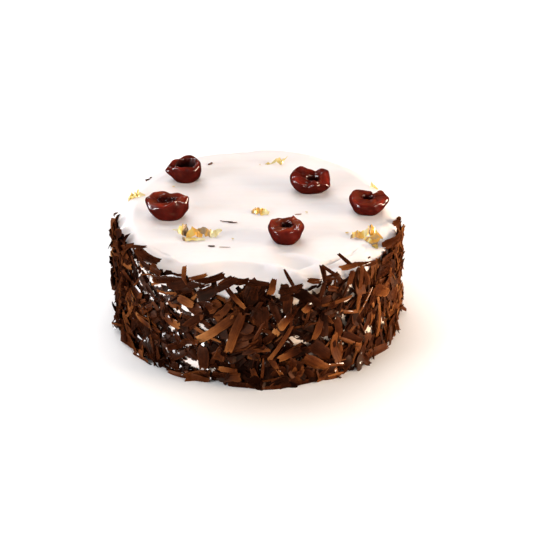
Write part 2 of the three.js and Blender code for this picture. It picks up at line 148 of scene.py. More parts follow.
def fold_rise(x, y, crest, rise, inner, outer, hollow, reach):
    """A bell of the distance d to the crest's curve, rise exp(-(d/width)^2), less a hollow on the outer
    side, hollow (d/reach) exp(1 - d/reach). Both fade at the ends of the crest."""
    line = smooth_path(crest, CREST_STEPS)
    near = np.full(x.shape, np.inf)
    along = np.zeros(x.shape)
    away = np.zeros(x.shape)
    count = len(line) - 1
    for i in range(count):
        (ax, ay), (dx, dy) = line[i], line[i + 1] - line[i]
        k = np.clip(((x - ax) * dx + (y - ay) * dy) / (dx * dx + dy * dy), 0, 1)
        ex, ey = x - ax - k * dx, y - ay - k * dy
        d = np.hypot(ex, ey)
        closer = d < near
        near = np.where(closer, d, near)
        along = np.where(closer, (i + k) / count, along)
        away = np.where(closer, ex * ax + ey * ay, away)
    fade = smooth(along * 4) * smooth((1 - along) * 5 + 0.3)
    bell = rise * np.exp(-((near / np.where(away > 0, outer, inner)) ** 2))
    dip = np.where(away > 0, hollow * near / reach * np.exp(1 - near / reach), 0)
    return fade * (bell - dip)


def cream_top(x, y):
    """Height of the cream: a plane tipped up at the back, less the shoulder's fall times
    ((r - start) / (rim - start))^power, plus folds, knife strokes and a slow unevenness."""
    r = np.hypot(x, y)
    start, fall = round_the_cake(SHOULDER, np.degrees(np.arctan2(y, x)))
    edge = np.maximum(0, (r - start) / (RIM_RADIUS - start))
    z = CREAM_HEIGHT + BACK_RISE * (y + 12) / CREAM_RADIUS - fall * edge**SHOULDER_POWER
    z = z + 0.22 * np.sin(0.06 * x + 0.11 * y) * np.sin(0.05 * y - 0.03 * x + 1.0)
    for fold in FOLDS:
        z = z + fold_rise(x, y, **fold)
    for at, slope, first, last, rise, width in STROKES:
        d = (y - at - slope * x) / width
        reach = smooth((x - first) / 16) * smooth((last - x) / 16)
        z = z + rise * reach * np.where(d > 0, np.exp(-d * d), np.exp(-((d * 2.2) ** 2)))
    return z


# How far the chocolate at the foot stands out beyond BASE_FLARE, by angle.
FOOT = [
    (-180, -0.2), (-169, 0.0), (-156, 0.1), (-147, 0.8), (-136, 1.8), (-128, 0.2), (-119, 1.4), (-111, 0.2),
    (-104, -1.2), (-98, 0.0), (-93, 0.2), (-87, 2.8), (-81, 1.8), (-75, 0.8), (-70, 0.6), (-63, 2.9),
    (-57, 0.0), (-51, 2.2), (-44, 1.2), (-35, 1.0), (-26, 0.4), (-11, -0.8), (0, -0.5), (60, 0.3), (120, 0.0),
    (180, -0.2),
]
FOOT_HEIGHT = 15.0


def foot(angle_deg, z):
    """How far the foot flares: BASE_FLARE and the listed extra at z = 0, nothing above FOOT_HEIGHT."""
    return (BASE_FLARE + round_the_cake(FOOT, angle_deg)[0]) * (1 - smooth(np.asarray(z) / FOOT_HEIGHT))


def belly(z):
    """How far the wall bulges at a height: half a sine wave over WALL_HEIGHT."""
    return WALL_BELLY * np.sin(math.pi * np.clip(z / WALL_HEIGHT, 0, 1))


def wall_radius(angle, z):
    """Radius of the cream wall: its belly and two faint waves round it; angle in radians."""
    return CREAM_RADIUS + belly(z) + 0.25 * np.sin(9 * angle + 0.2 * z) + 0.2 * np.sin(17 * angle - 0.3 * z)


# ------------------------------------------------------------------ meshes from arrays
def ring_faces(rows, columns, flip=False):
    """Quads of a grid that closes round along its columns, and the first and last vertex as poles."""
    r, c = np.meshgrid(np.arange(rows - 1), np.arange(columns), indexing="ij")
    d = (c + 1) % columns
    quads = 1 + np.stack([r * columns + c, r * columns + d, (r + 1) * columns + d, (r + 1) * columns + c], -1)
    quads = quads.reshape(-1, 4)
    return quads[:, ::-1] if flip else quads


def new_mesh(name, points, quads, triangles=None, attributes=None, sharp_deg=None):
    """A mesh object from arrays of points in millimetres, quads and triangles, with named attributes:
    one number or one vector for each point."""
    mesh = bpy.data.meshes.new(name)
    loops = quads.reshape(-1)
    sizes = np.full(len(quads), 4)
    if triangles is not None and len(triangles):
        loops = np.concatenate([loops, triangles.reshape(-1)])
        sizes = np.concatenate([sizes, np.full(len(triangles), 3)])
    mesh.vertices.add(len(points))
    mesh.vertices.foreach_set("co", (points * MM).astype(np.float32).ravel())
    mesh.loops.add(len(loops))
    mesh.loops.foreach_set("vertex_index", loops.astype(np.int32))
    mesh.polygons.add(len(sizes))
    mesh.polygons.foreach_set("loop_start", np.concatenate([[0], np.cumsum(sizes)[:-1]]).astype(np.int32))
    mesh.polygons.foreach_set("loop_total", sizes.astype(np.int32))
    mesh.polygons.foreach_set("use_smooth", np.ones(len(sizes), bool))
    for key, values in (attributes or {}).items():
        values = np.asarray(values, np.float32)
        kind, field = ("FLOAT", "value") if values.ndim == 1 else ("FLOAT_VECTOR", "vector")
        mesh.attributes.new(key, kind, "POINT").data.foreach_set(field, values.ravel())
    mesh.update(calc_edges=True)
    mesh.validate()
    if sharp_deg is not None:
        mesh.set_sharp_from_angle(angle=math.radians(sharp_deg))
    obj = bpy.data.objects.new(name, mesh)
    bpy.context.scene.collection.objects.link(obj)
    return obj


def turned_mesh(name, first, rows, last, attributes=None, flip=False, sharp_deg=None):
    """A closed body from a pole, rows of points (rows, columns, 3) and a second pole. Attributes have
    one value for each grid point, and the poles take their neighbours'."""
    count, columns, _ = rows.shape
    points = np.concatenate([[first], rows.reshape(-1, 3), [last]])
    quads = ring_faces(count, columns, flip)
    c = np.arange(columns)
    d = (c + 1) % columns
    low = np.stack([np.zeros(columns, int), 1 + d, 1 + c], -1)
    base = 1 + (count - 1) * columns
    high = np.stack([np.full(columns, len(points) - 1), base + c, base + d], -1)
    triangles = np.concatenate([low, high])
    if flip:
        triangles = triangles[:, ::-1]
    full = {}
    for key, values in (attributes or {}).items():
        values = np.asarray(values, float).reshape(count * columns, *np.shape(values)[2:])
        full[key] = np.concatenate([values[:1], values, values[-1:]])
    return new_mesh(name, points, quads, triangles, full, sharp_deg)


def place(obj, mat, slot, *nodes):
    """The piece gets its material, rides on the cake and stands for these solids, which are hidden.
    `slot` is not used."""
    obj.data.materials.append(mat)
    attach(obj, BODY)
    if nodes:
        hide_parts(*nodes)


# ------------------------------------------------------------------ where the wall stays bare
# Height where the chocolate ends, by angle in degrees round the cake (-90 faces the viewer).
TOP_EDGE = [
    (-180, 59), (-172, 61), (-157, 62), (-142, 61), (-132, 60), (-122, 59), (-113, 61), (-104, 61),
    (-95, 62), (-88, 62), (-84, 60.5), (-77, 57.5), (-70, 57), (-62, 58), (-55, 58.5), (-48, 57.5),
    (-40, 56.5), (-32, 57), (-25, 58.5), (-12, 59), (-4, 57.5), (2, 53.5), (8, 49.5), (25, 49),
    (45, 52), (90, 54), (135, 53), (155, 50), (168, 52), (176, 56), (180, 59),
]
# Streaks of cream the shavings left bare: angle and height of both ends, and half the width.
BARE = [
    (-149, 46.5, -148, 44, 0.6), (-145.3, 54, -144.4, 49.6, 0.6), (-144.8, 46.5, -142.4, 49.2, 0.7),
    (-141.4, 51.6, -137.3, 50.4, 1.6), (-137.3, 50.2, -133.6, 49.2, 1.8), (-133, 48.3, -126.8, 50.5, 1.2),
    (-139.6, 38.8, -135, 37.2, 0.9), (-125.6, 42.2, -121.6, 37.2, 1.2), (-119.4, 40.6, -113.9, 40.3, 1.3),
    (-119.9, 45.7, -116.1, 42.5, 0.7), (-125.8, 62, -124.3, 59, 1.0), (-131.9, 31.4, -128.3, 30.9, 0.7),
    (-127.5, 25.9, -124.4, 25.6, 0.8), (-117.6, 18.9, -115.6, 14.2, 1.5), (-120, 9.9, -116.1, 7.8, 1.7),
    (-116.1, 7.8, -112.4, 6.7, 1.8), (-113.9, 14.2, -112.8, 9.7, 1.5), (-142.3, 13.8, -140.5, 12.6, 0.6),
    (-109, 55.5, -103.5, 59.5, 1.8), (-103, 56, -100.5, 50.5, 2.2), (-99, 57, -95.5, 60, 1.8),
    (-109, 23, -107, 14, 1.0), (-112, 33, -109, 30, 1.0), (-88, 34, -86, 31, 1.0), (-86, 47, -84, 43, 1.0),
    (-84, 56, -82, 54, 0.9), (-80.5, 53.5, -75.5, 49, 2.4), (-79, 27.5, -74, 23.5, 2.0),
    (-75.4, 24.6, -72.1, 18.6, 1.7), (-71.5, 57, -69.5, 47, 1.7), (-69.4, 56.7, -66.2, 52.8, 1.9),
    (-65.7, 50.9, -64.5, 47.5, 1.4), (-70.9, 21.3, -66.8, 14.5, 2.1), (-64.3, 11.1, -62.5, 9.1, 0.8),
    (-58.3, 32.4, -57.6, 29, 1.0), (-54.3, 30.6, -53.6, 27.5, 1.0), (-52.3, 21, -51.8, 18.5, 1.1),
    (-55, 41.8, -49.4, 43.6, 1.3), (-51.6, 51, -48.8, 47, 1.3), (-46.4, 54.2, -43.4, 49.6, 1.3),
    (-48.6, 28, -47.9, 25, 1.1), (-42.6, 24.2, -41.4, 19, 1.1), (-40.6, 31.6, -38.6, 24.6, 1.3),
    (-42, 18.5, -38.2, 14.4, 1.4), (-32, 14.4, -27, 13.2, 1.3), (-33, 5.2, -31.6, 8, 0.8),
    (35, 44, 38, 39, 2.0), (70, 24, 76, 20, 2.2), (98, 47, 104, 43, 2.0), (118, 14, 124, 10, 2.0),
    (140, 36, 146, 30, 2.2), (170, 46, 174, 40, 1.8), (16, 14, 20, 10, 1.8),
]
SMALL_BARE = 190  # further small ones, spread evenly


def bare_streaks(rng):
    """The listed streaks, then small ones at golden-angle steps: angle and height of both ends and half
    the width, one row each."""
    angle = evenly_round(SMALL_BARE, 12, rng)
    z = rng.uniform(3, 54, SMALL_BARE)
    length, turn = rng.uniform(1, 5, SMALL_BARE), rng.uniform(0, math.pi, SMALL_BARE)
    half = rng.uniform(0.35, 0.95, SMALL_BARE)
    step = np.degrees(length * np.cos(turn) / BED_RADIUS)
    small = np.stack([angle, z, angle + step, z + length * np.sin(turn), half], -1)
    return np.concatenate([np.array(BARE, float), small])


STREAKS = bare_streaks(np.random.default_rng(SEEDS["streaks"]))


def bareness(angle_deg, z, streaks=STREAKS):
    """How far inside a bare streak a point of the wall lies, in mm: half the streak's width less the
    distance to its middle line, the largest over the streaks."""
    reach = math.radians(1) * BED_RADIUS
    inside = np.full(np.shape(angle_deg), -99.0)
    for a0, z0, a1, z1, half in streaks:
        dx, dz = (a1 - a0) * reach, z1 - z0
        px, pz = (angle_deg - a0) * reach, z - z0
        k = np.clip((px * dx + pz * dz) / (dx * dx + dz * dz), 0, 1)
        inside = np.maximum(inside, half - np.hypot(px - k * dx, pz - k * dz))
    return inside


def top_edge(angle_deg):
    """Height of the chocolate's upper edge at an angle, between the listed ones."""
    return round_the_cake(TOP_EDGE, angle_deg)[0]


# ------------------------------------------------------------------ chocolate strips
KEPT_SHARE = 0.25  # of the distance beyond LIMIT_RADIUS
FOLD_IN, FOLD_DOWN = 0.85, 0.48  # what a strip goes inwards and down for each mm above WALL_HEIGHT
LOWEST_POINT = 0.05
SHARP_DEG = 38
GRAIN_APART, EDGE_APART = 7.31, 0.37  # steps between strips in the noise of grain and broken edges


def section_at(columns):
    """Place across a strip, -1 to 1, of the points round its section: over the face and back under it."""
    return np.concatenate([np.linspace(-1, 1, columns), np.linspace(1, -1, columns)])


def strip_outline(spec, stations, columns, rng, wave, jag):
    """Half-widths of strips on both sides at each station, and the shift of their end edges. A width
    narrows by `taper` towards the far end and by `tip` x |2s|^3 at either end, s from -1/2 to 1/2,
    swells by a sine of random phase, and is nicked by `jag`."""
    count = len(spec["length"])
    s = np.linspace(-0.5, 0.5, stations)[None, :, None]
    taper = spec["taper"][:, None, None]
    tips = rng.uniform(0, 1, (count, 2)) ** 1.6 * spec["tip"][:, None]
    cut = tips[:, :1, None] * np.clip(-2 * s, 0, 1) ** 3 + tips[:, 1:, None] * np.clip(2 * s, 0, 1) ** 3
    phase, pace = rng.uniform(0, TAU, (count, 1, 2)), rng.uniform(0.6, 1.7, (count, 1, 2))
    swell = wave * np.sin(TAU * pace * s + phase) + jag * rng.uniform(-1, 1, (count, stations, 2))
    half = spec["width"][:, None, None] / 2 * (1 - taper * np.abs(s + 0.22)) * (1 - 0.92 * cut) * (1 + swell)
    reach = np.minimum(0.13, 0.5 * spec["width"] / spec["length"])[:, None]
    return half, rng.uniform(-0.5, 0.5, (count, columns)) * reach


def strip_sections(half, ends, spec, stations):
    """Local points of bent strips, (strips, stations, section, 3): a flat section of width 2 x half and
    thickness `thick` is carried along an arc that turns by `bend` over its length, is itself curved
    across by the arc `cup`, and twists by `twist`. `half` has one value for each side of each station,
    and `ends` moves the end stations along the strip for a broken edge."""
    count, columns = len(spec["length"]), ends.shape[1]
    s = np.linspace(-0.5, 0.5, stations)[None, :, None]
    v = section_at(columns)[None, None, :]
    w = np.concatenate([np.ones(columns), -np.ones(columns)])[None, None, :]

    def each(key):
        return spec[key][:, None, None]

    length, bend, cup, twist = each("length"), each("bend"), each("cup"), each("twist")
    bend = np.where(np.abs(bend) < 1e-3, 1e-3, bend)
    cup = np.where(np.abs(cup) < 1e-3, 1e-3, cup)
    side = np.where(v < 0, half[:, :, :1], half[:, :, 1:])
    thick = each("thick") * (1 - 0.55 * np.abs(2 * s) ** 3)
    y = np.sin(cup * v) / cup * side
    lift = (np.cos(cup * v) - 1) / cup * side + w * thick / 2 * np.cos(cup * v)
    y = y + w * thick / 2 * np.sin(cup * v)
    turn = twist * s
    y, lift = y * np.cos(turn) - lift * np.sin(turn), y * np.sin(turn) + lift * np.cos(turn)
    broken = np.concatenate([ends, ends[:, ::-1]], 1)[:, None, :]
    at = s + broken * np.sign(s) * (np.abs(s) > 0.49)
    angle = bend * at
    x = np.sin(angle) / bend * length + lift * np.sin(angle)
    z = (np.cos(angle) - 1) / bend * length + lift * np.cos(angle)
    grain = np.broadcast_arrays(s * length, v * side, np.arange(count)[:, None, None] * GRAIN_APART)
    return np.stack(np.broadcast_arrays(x, y, z), -1), np.stack(grain, -1)


def strip_axes(spec):
    """Axes of strips on the wall, (strips, 3, 3) as run, across and face: level round the cake and
    upright, turned by `turn` about the outward direction, then tipped by `lean` and `roll`."""
    turns = (unit(spec[key][:, None]) for key in ("angle", "turn", "lean", "roll"))
    (ct, st), (cu, su), (cl, sl), (cr, sr) = turns
    out = np.concatenate([ct, st, np.zeros_like(ct)], -1)
    side = np.concatenate([-st, ct, np.zeros_like(ct)], -1)
    up = np.array([0, 0, 1.0])
    along, across = side * cu + up * su, up * cu - side * su
    run, face = along * cl + out * sl, out * cl - along * sl
    return np.stack([run, across * cr + face * sr, face * cr - across * sr], 1)


def settle(points):
    """Bends strips to the cake: beyond LIMIT_RADIUS only a share of the distance is kept, and what
    rises past WALL_HEIGHT folds in over the shoulder."""
    high = np.maximum(0, points[..., 2] - WALL_HEIGHT)
    r = np.hypot(points[..., 0], points[..., 1])
    limit = LIMIT_RADIUS + foot(np.degrees(np.arctan2(points[..., 1], points[..., 0])), points[..., 2])
    held = np.where(r > limit, limit + KEPT_SHARE * (r - limit), r) - FOLD_IN * high
    points[..., :2] *= (held / r)[..., None]
    points[..., 2] = np.maximum(points[..., 2] - FOLD_DOWN * high, LOWEST_POINT)
    return points


def strips(name, spec, stations, columns, rng, wave=0.12, jag=0.08, centres=None, axes=None):
    """Thin curved strips of chocolate as one mesh, closed by quads across their two ends. They stand on
    the wall, or where `centres` and `axes` say."""
    count = len(spec["length"])
    half, ends = strip_outline(spec, stations, columns, rng, wave, jag)
    local, grain = strip_sections(half, ends, spec, stations)
    if axes is None:
        cosine, sine = unit(spec["angle"])
        centres = np.stack([spec["radius"] * cosine, spec["radius"] * sine, spec["z"]], -1)
        points = settle(np.einsum("nskj,nji->nski", local, strip_axes(spec)) + centres[:, None, None, :])
    else:
        points = np.einsum("nskj,nji->nski", local, axes) + centres[:, None, None, :]
    section = 2 * columns
    loop = np.arange(section)
    nxt = (loop + 1) % section
    a = np.arange(stations - 1)[:, None] * section
    sides = np.stack(np.broadcast_arrays(a + loop, a + nxt, a + section + nxt, a + section + loop), -1)
    k = np.arange(columns - 1)
    start = np.stack([k, section - 1 - k, section - 2 - k, k + 1], -1)
    finish = start[:, ::-1] + (stations - 1) * section
    one = np.concatenate([sides.reshape(-1, 4), start, finish])
    quads = (one[None] + (np.arange(count) * stations * section)[:, None, None]).reshape(-1, 4)
    mix = smooth(1.3 * (grain[..., 0] / spec["length"][:, None, None]) + 0.5)
    shade = spec["shade"][:, None, None] * (1 - mix) + spec["shade_end"][:, None, None] * mix
    gloss = np.broadcast_to(spec["gloss"][:, None, None], shade.shape)
    along = np.linspace(-1, 1, stations)[:, None]
    apart = np.arange(count)[:, None, None] * EDGE_APART
    border = np.stack(np.broadcast_arrays(along, section_at(columns), apart), -1)
    return new_mesh(
        name, points.reshape(-1, 3), quads,
        attributes=dict(shade=shade.ravel(), gloss=gloss.ravel(), grain=grain.reshape(-1, 3),
                        border=border.reshape(-1, 3)),
        sharp_deg=SHARP_DEG,
    )


# How the strips lie, by angle round the cake: the usual turn of a strip, how far it strays from it,
# how many slender ones there are, how much paler they are (partly their own colour, partly painted
# light: paler on the right, where the warm light falls, darker at the front, which gets less), and
# how wet the chocolate looks.
LIE = [
    (-180, 62, 30, 0.5, 0.04, 0.4), (-158, 52, 36, 0.4, 0.0, 0.8), (-145, 46, 40, 0.45, 0.0, 1.0),
    (-112, 40, 42, 0.5, -0.02, 1.0), (-98, 45, 45, 0.6, -0.09, 0.45), (-75, 52, 40, 0.7, -0.09, 0.3),
    (-55, 70, 32, 0.95, 0.03, 0.3), (-25, 82, 26, 1.0, 0.27, 0.2), (0, 78, 30, 1.0, 0.36, 0.2),
    (90, 55, 45, 0.8, 0.04, 0.4), (180, 62, 30, 0.5, 0.02, 0.4),
]
OTHER_WAY = 0.3  # share of strips that slant the other way
SHADE_POWER = 2.8  # the higher, the fewer pale strips
SCATTER_TOP = 61.0
FINE_SUNK, LARGE_SUNK = 1.2, 0.8  # how far inside BED_RADIUS strips start before their lift
ALONG = (-0.42, -0.14, 0.14, 0.42)  # where a strip is tested for what it covers, in lengths


def scattered(rng, count, length, width, thick, lift, slender=0, lean=9, roll=15, bend=0.5, cup=0.35,
              twist=0.35, taper=0.4, tip=0.5, shade=(0.0, 0.45), margin=0.6, overtop=0.4, low=0.5,
              cross=0.0):
    """Draws strips evenly over the wall, then drops those that cover a bare streak (but for a share
    `cross`) or rise above the chocolate's upper edge. Most shades are near the dark end, shifted by the
    angle's paleness, which is partly painted light, and strips are wetter low down."""
    angle = evenly_round(count, 9, rng)
    z = rng.uniform(low, SCATTER_TOP, count)
    usual, stray, slim, pale, wet = round_the_cake(LIE, angle)
    spec = dict(
        angle=angle, z=z,
        length=rng.uniform(*length, count),
        width=rng.uniform(*width, count),
        thick=rng.uniform(*thick, count),
        turn=usual * np.where(rng.uniform(0, 1, count) < OTHER_WAY, -1, 1) + rng.normal(0, 1, count) * stray,
        lean=rng.normal(0, lean, count),
        roll=rng.normal(0, roll, count),
        bend=rng.normal(0.15, bend, count),
        cup=rng.normal(0.1, cup, count),
        twist=rng.normal(0, twist, count),
        taper=rng.uniform(0, taper, count),
        tip=np.full(count, tip),
    )
    dark, light = shade
    # Adds the angle's paleness: partly painted light, paler on the lit right and darker at the front.
    spec["shade"] = dark + (light - dark) * rng.uniform(0, 1, count) ** SHADE_POWER + pale
    spec["shade_end"] = np.clip(spec["shade"] + rng.normal(0.03, 0.14, count), 0, 1)
    spec["gloss"] = np.clip(wet * rng.uniform(0, 1.5, count) * (1.15 - z / 110), 0, 1)
    spec["radius"] = BED_RADIUS - FINE_SUNK + foot(angle, z) + belly(z) + rng.uniform(*lift, count)
    crosses = rng.uniform(0, 1, count) < cross
    keep = rng.uniform(0, 1, count) < 1 - slender * (1 - slim)
    cosine, sine = unit(spec["turn"])
    for share in ALONG:
        step = share * spec["length"]
        at = angle + np.degrees(step * cosine / BED_RADIUS)
        height = z + step * sine
        keep &= (bareness(at, height, STREAKS[:len(BARE)]) < margin - 0.42 * spec["width"]) | crosses
        keep &= bareness(at, height, STREAKS[len(BARE):]) < margin - 0.1
        keep &= height < top_edge(at) + overtop
        keep &= height > -1.5
    return {key: value[keep] for key, value in spec.items()}


# The large shavings: angle and height of both ends, width, shade at both ends, and how far they stand
# off the bed. Random draws go row by row.
LARGE = [
    (-169, 25, -162, 36, 1.9, 0.4, 0.35, 2.2), (-164, 24, -156, 38, 2.2, 0.4, 0.3, 2.4),
    (-158, 48, -150, 51.5, 4.5, 0.25, 0.2, 1.8), (-160, 10, -152, 20, 4.0, 0.2, 0.16, 1.8),
    (-154, -0.5, -147.5, 1.5, 2.6, 0.35, 0.3, 2.4), (-153.5, 23.5, -147, 40, 1.4, 0.5, 0.4, 2.8),
    (-151, 24, -138, 36, 1.9, 0.5, 0.35, 2.8), (-151, 8, -144.5, 19, 4.5, 0.12, 0.1, 2.2),
    (-150, 61, -143, 66, 2.2, 0.25, 0.2, 1.6), (-147.5, 40.5, -141, 35.5, 5.4, 0.14, 0.2, 2.2),
    (-146.5, 62, -132.5, 62, 4.6, 0.22, 0.14, 1.8), (-145.5, 24.5, -134.5, 23, 3.2, 0.85, 0.3, 3.4),
    (-144, -3, -135, 1, 2.2, 0.4, 0.35, 2.0), (-143, 27.5, -132.5, 31, 4.5, 0.2, 0.14, 2.0),
    (-142, 59, -134, 57, 3.7, 0.14, 0.12, 2.8), (-141, 9.5, -131, 18.5, 3.8, 0.12, 0.16, 2.2),
    (-137, 46.5, -132.5, 41.5, 2.6, 0.2, 0.15, 2.4), (-134, 59, -128.5, 57.5, 5.2, 0.32, 0.22, 3.0),
    (-133.5, 38, -127.5, 31.5, 2.4, 0.35, 0.25, 2.8), (-132.5, 52, -118, 60, 4.8, 0.2, 0.16, 3.0),
    (-129, 40, -128, 32, 3.0, 0.35, 0.2, 2.2), (-127, 33, -120, 30, 4.5, 0.3, 0.85, 3.4),
    (-127, 13.5, -118.5, 20.5, 3.7, 0.22, 0.14, 2.6), (-126, 7, -118, 15.5, 3.6, 0.1, 0.14, 2.8),
    (-126, 51.5, -117, 57.5, 6.2, 0.12, 0.15, 2.4), (-125.5, -2, -116, -1, 2.9, 0.42, 0.3, 2.0),
    (-122.5, 50.5, -115, 53.5, 3.6, 0.12, 0.14, 2.0), (-120, 66, -117, 56.5, 2.2, 0.6, 0.35, 3.0),
    (-120, 18, -123, 24, 4.2, 0.16, 0.2, 2.2), (-120.5, 47.5, -114.5, 45, 4.4, 0.5, 0.7, 2.8),
    (-119.5, 28.5, -110, 41.5, 4.5, 0.3, 0.15, 2.8), (-118.5, 3, -108, 0.5, 4.0, 0.3, 0.36, 3.0),
    (-118.5, 27.5, -115, 23, 2.9, 0.14, 0.3, 2.6), (-117.5, 18, -113, 12, 4.2, 0.2, 0.12, 2.4),
    (-116.5, 56, -103, 65.5, 4.2, 0.1, 0.14, 3.2), (-116, 59.5, -110, 64, 2.3, 0.4, 0.65, 2.6),
    (-114, 22.5, -94.5, 46.5, 4.8, 0.95, 0.3, 3.6), (-112.5, 53.5, -107.5, 58.5, 2.2, 0.12, 0.15, 2.4),
    (-110.7, 21, -110.9, 7.5, 6.3, 0.18, 0.24, 2.6), (-107, 17.5, -102, 22.5, 1.9, 0.3, 0.35, 2.8),
    (-107, 6, -100.5, 4.5, 4.0, 0.14, 0.14, 2.2), (-105.5, 39.5, -100, 49, 3.8, 0.5, 0.3, 3.0),
    (-105, 56.5, -98, 64.5, 4.0, 0.1, 0.14, 2.8), (-104.5, 10, -97.5, 9.5, 3.2, 0.8, 0.3, 3.2),
    (-104, 58, -99.5, 64.5, 4.5, 0.3, 0.16, 2.4), (-101, 58.5, -94.7, 47.5, 3.0, 0.12, 0.74, 3.6),
    (-101, 2, -93, 1.2, 3.2, 0.15, 0.2, 2.2), (-101, 21, -95.5, 44.5, 4.6, 0.66, 0.3, 3.8),
    (-99.7, 62.5, -93.3, 62.6, 3.7, 0.12, 0.14, 2.6), (-96, 30.5, -89, 35.5, 6.1, 0.26, 0.15, 2.2),
    (-94, 48.5, -91.2, 61, 8.0, 0.12, 0.1, 2.6), (-93.5, 18, -89, 16.5, 1.9, 0.5, 0.6, 2.6),
    (-93.3, 63, -86, 61.5, 2.4, 0.1, 0.14, 2.8), (-92, 12, -90, 3.5, 2.9, 0.25, 0.7, 2.8),
    (-91, 23, -89.5, 31.5, 5.0, 0.12, 0.15, 2.0), (-89, 47.5, -88.5, 35.5, 8.3, 0.1, 0.26, 3.0),
    (-88.5, -2, -79.5, 0.5, 2.7, 0.36, 0.3, 2.6), (-87.5, 12.5, -77, 36, 2.2, 0.72, 0.4, 3.8),
    (-87.5, 26.5, -83, 33, 4.0, 0.15, 0.2, 2.4), (-85.4, 55.5, -83.6, 64.5, 3.4, 0.65, 0.3, 3.2),
    (-85.3, 51.5, -81.6, 38.5, 3.4, 0.12, 0.12, 2.8), (-85, 4, -81.5, 13, 4.3, 0.14, 0.2, 2.4),
    (-83.4, 32, -75.5, 47, 4.6, 0.9, 0.06, 3.4), (-83, 7, -79.5, 11.5, 5.6, 0.14, 0.2, 2.6),
    (-82.6, 30.5, -88, 34, 2.9, 0.25, 0.35, 2.4), (-82.2, 55.5, -73, 58.5, 4.2, 0.1, 0.12, 3.0),
    (-82, 17, -74, 21.5, 4.9, 0.75, 0.1, 3.4), (-79.8, 50, -80.1, 61, 5.2, 0.1, 0.12, 2.4),
    (-78.5, 15, -73, 8.5, 5.6, 0.2, 0.45, 3.0), (-78.5, 0, -68.5, 0.5, 4.0, 0.3, 0.25, 2.6),
    (-78, 9, -72.5, 2, 4.5, 0.25, 0.55, 2.6), (-76.6, 58, -79.1, 69.5, 1.7, 0.14, 0.16, 3.0),
    (-72.7, 43, -69.8, 47.5, 4.2, 0.8, 0.1, 2.8), (-72.5, 16, -60.5, 3.5, 6.0, 0.35, 0.8, 4.0),
    (-72.5, 10, -67, 1.5, 5.6, 0.2, 0.38, 3.2), (-71, 61, -65.5, 58.5, 3.0, 0.36, 0.3, 2.4),
    (-69, 23, -61.5, 12.5, 7.5, 0.12, 0.22, 3.0), (-68.5, 25, -65.2, 38, 3.6, 0.65, 0.25, 3.0),
    (-67, 45.5, -63.6, 67.5, 1.9, 0.22, 0.14, 3.4), (-66.2, 52, -62.7, 67.5, 1.9, 0.2, 0.16, 3.0),
    (-65, 58.5, -58, 60.5, 3.7, 0.2, 0.25, 2.4), (-65, -0.5, -58, -2, 2.9, 0.48, 0.5, 2.8),
    (-63, 8.5, -50, 3.5, 1.9, 0.6, 0.5, 3.2), (-62.7, 67.3, -58, 57, 1.9, 0.16, 0.22, 3.2),
    (-61.7, 42.5, -57, 45, 4.3, 0.2, 0.14, 2.4), (-59, 34.5, -56.7, 22, 4.2, 0.3, 0.38, 2.6),
    (-58, 22.5, -45.5, 10.5, 1.9, 0.6, 0.65, 3.4), (-57.6, 38.5, -48, 33.5, 1.7, 0.65, 0.7, 3.6),
    (-57.3, 19.5, -56, 8.5, 2.2, 0.5, 0.55, 3.0), (-56.5, 63, -48.7, 62.5, 3.2, 0.68, 0.4, 3.0),
    (-56.2, 24, -45.7, 13, 4.7, 0.18, 0.25, 2.8), (-53.4, 71, -51, 62, 2.4, 0.24, 0.18, 3.0),
    (-53.3, 52, -52.4, 60.5, 3.2, 0.45, 0.3, 2.8), (-49.1, 34, -47.5, 61, 3.0, 0.62, 0.4, 3.4),
    (-49.1, 33, -41, 44, 1.1, 0.7, 0.78, 3.8), (-48.7, 61.5, -38.5, 57, 2.9, 0.36, 0.3, 2.6),
    (-45.5, 5.5, -31, 0.5, 5.6, 0.32, 0.38, 3.0), (-44.7, 19, -41, 28.5, 4.3, 0.36, 0.3, 2.6),
    (-42.8, 46.5, -46, 57, 2.9, 0.4, 0.3, 2.8), (-41, 43.5, -30, 33, 6.0, 0.42, 0.68, 3.6),
    (-38, 49.5, -25, 47, 6.1, 0.2, 0.26, 2.6), (-37.5, -3, -29.5, -4, 2.3, 0.5, 0.45, 2.4),
    (-36.4, 5.5, -36.2, 37.5, 2.3, 0.72, 0.8, 4.0), (-31, 62, -13, 56.5, 5.0, 0.32, 0.38, 3.0),
    (-36, 43, -24, 41, 3.0, 0.42, 0.48, 2.8), (-35, 55, -23, 53.5, 4.0, 0.32, 0.36, 2.8),
    (-31, 20, -20, 13, 2.4, 0.6, 0.5, 2.8),
    (-24, 24, -32, 42.5, 2.2, 0.45, 0.5, 2.8), (-24, 0.5, -15, 0.5, 3.3, 0.38, 0.42, 2.4),
    (-14, 64, -5, 61, 2.9, 0.38, 0.32, 2.4), (-17, 20, -25, 34, 1.9, 0.48, 0.42, 2.6),
    (-50.5, 1.0, -48, 2.2, 3.2, 0.45, 0.75, 2.2),
    (-49.5, 3.4, -47.4, 1.2, 2.2, 0.3, 0.85, 2.4), (-7, 17, -4.5, 19.5, 3.4, 0.6, 1.0, 4.0),
    (-8, 14.5, -4.8, 13, 2.8, 0.5, 0.8, 3.8),
]
# The large shavings' shades are darkened: partly their own darker colour, partly painted shade for the front
# of the wall, which gets less light.
LARGE_SHADE = 0.88  # all their shades are darkened by it
LARGE_KEYS = ("a0", "z0", "a1", "z1", "width", "shade", "shade_end", "lift")
SLENDER = 3.0  # narrower ones are rolled tighter across
LOWEST_END = 0.9  # no end is lower than this


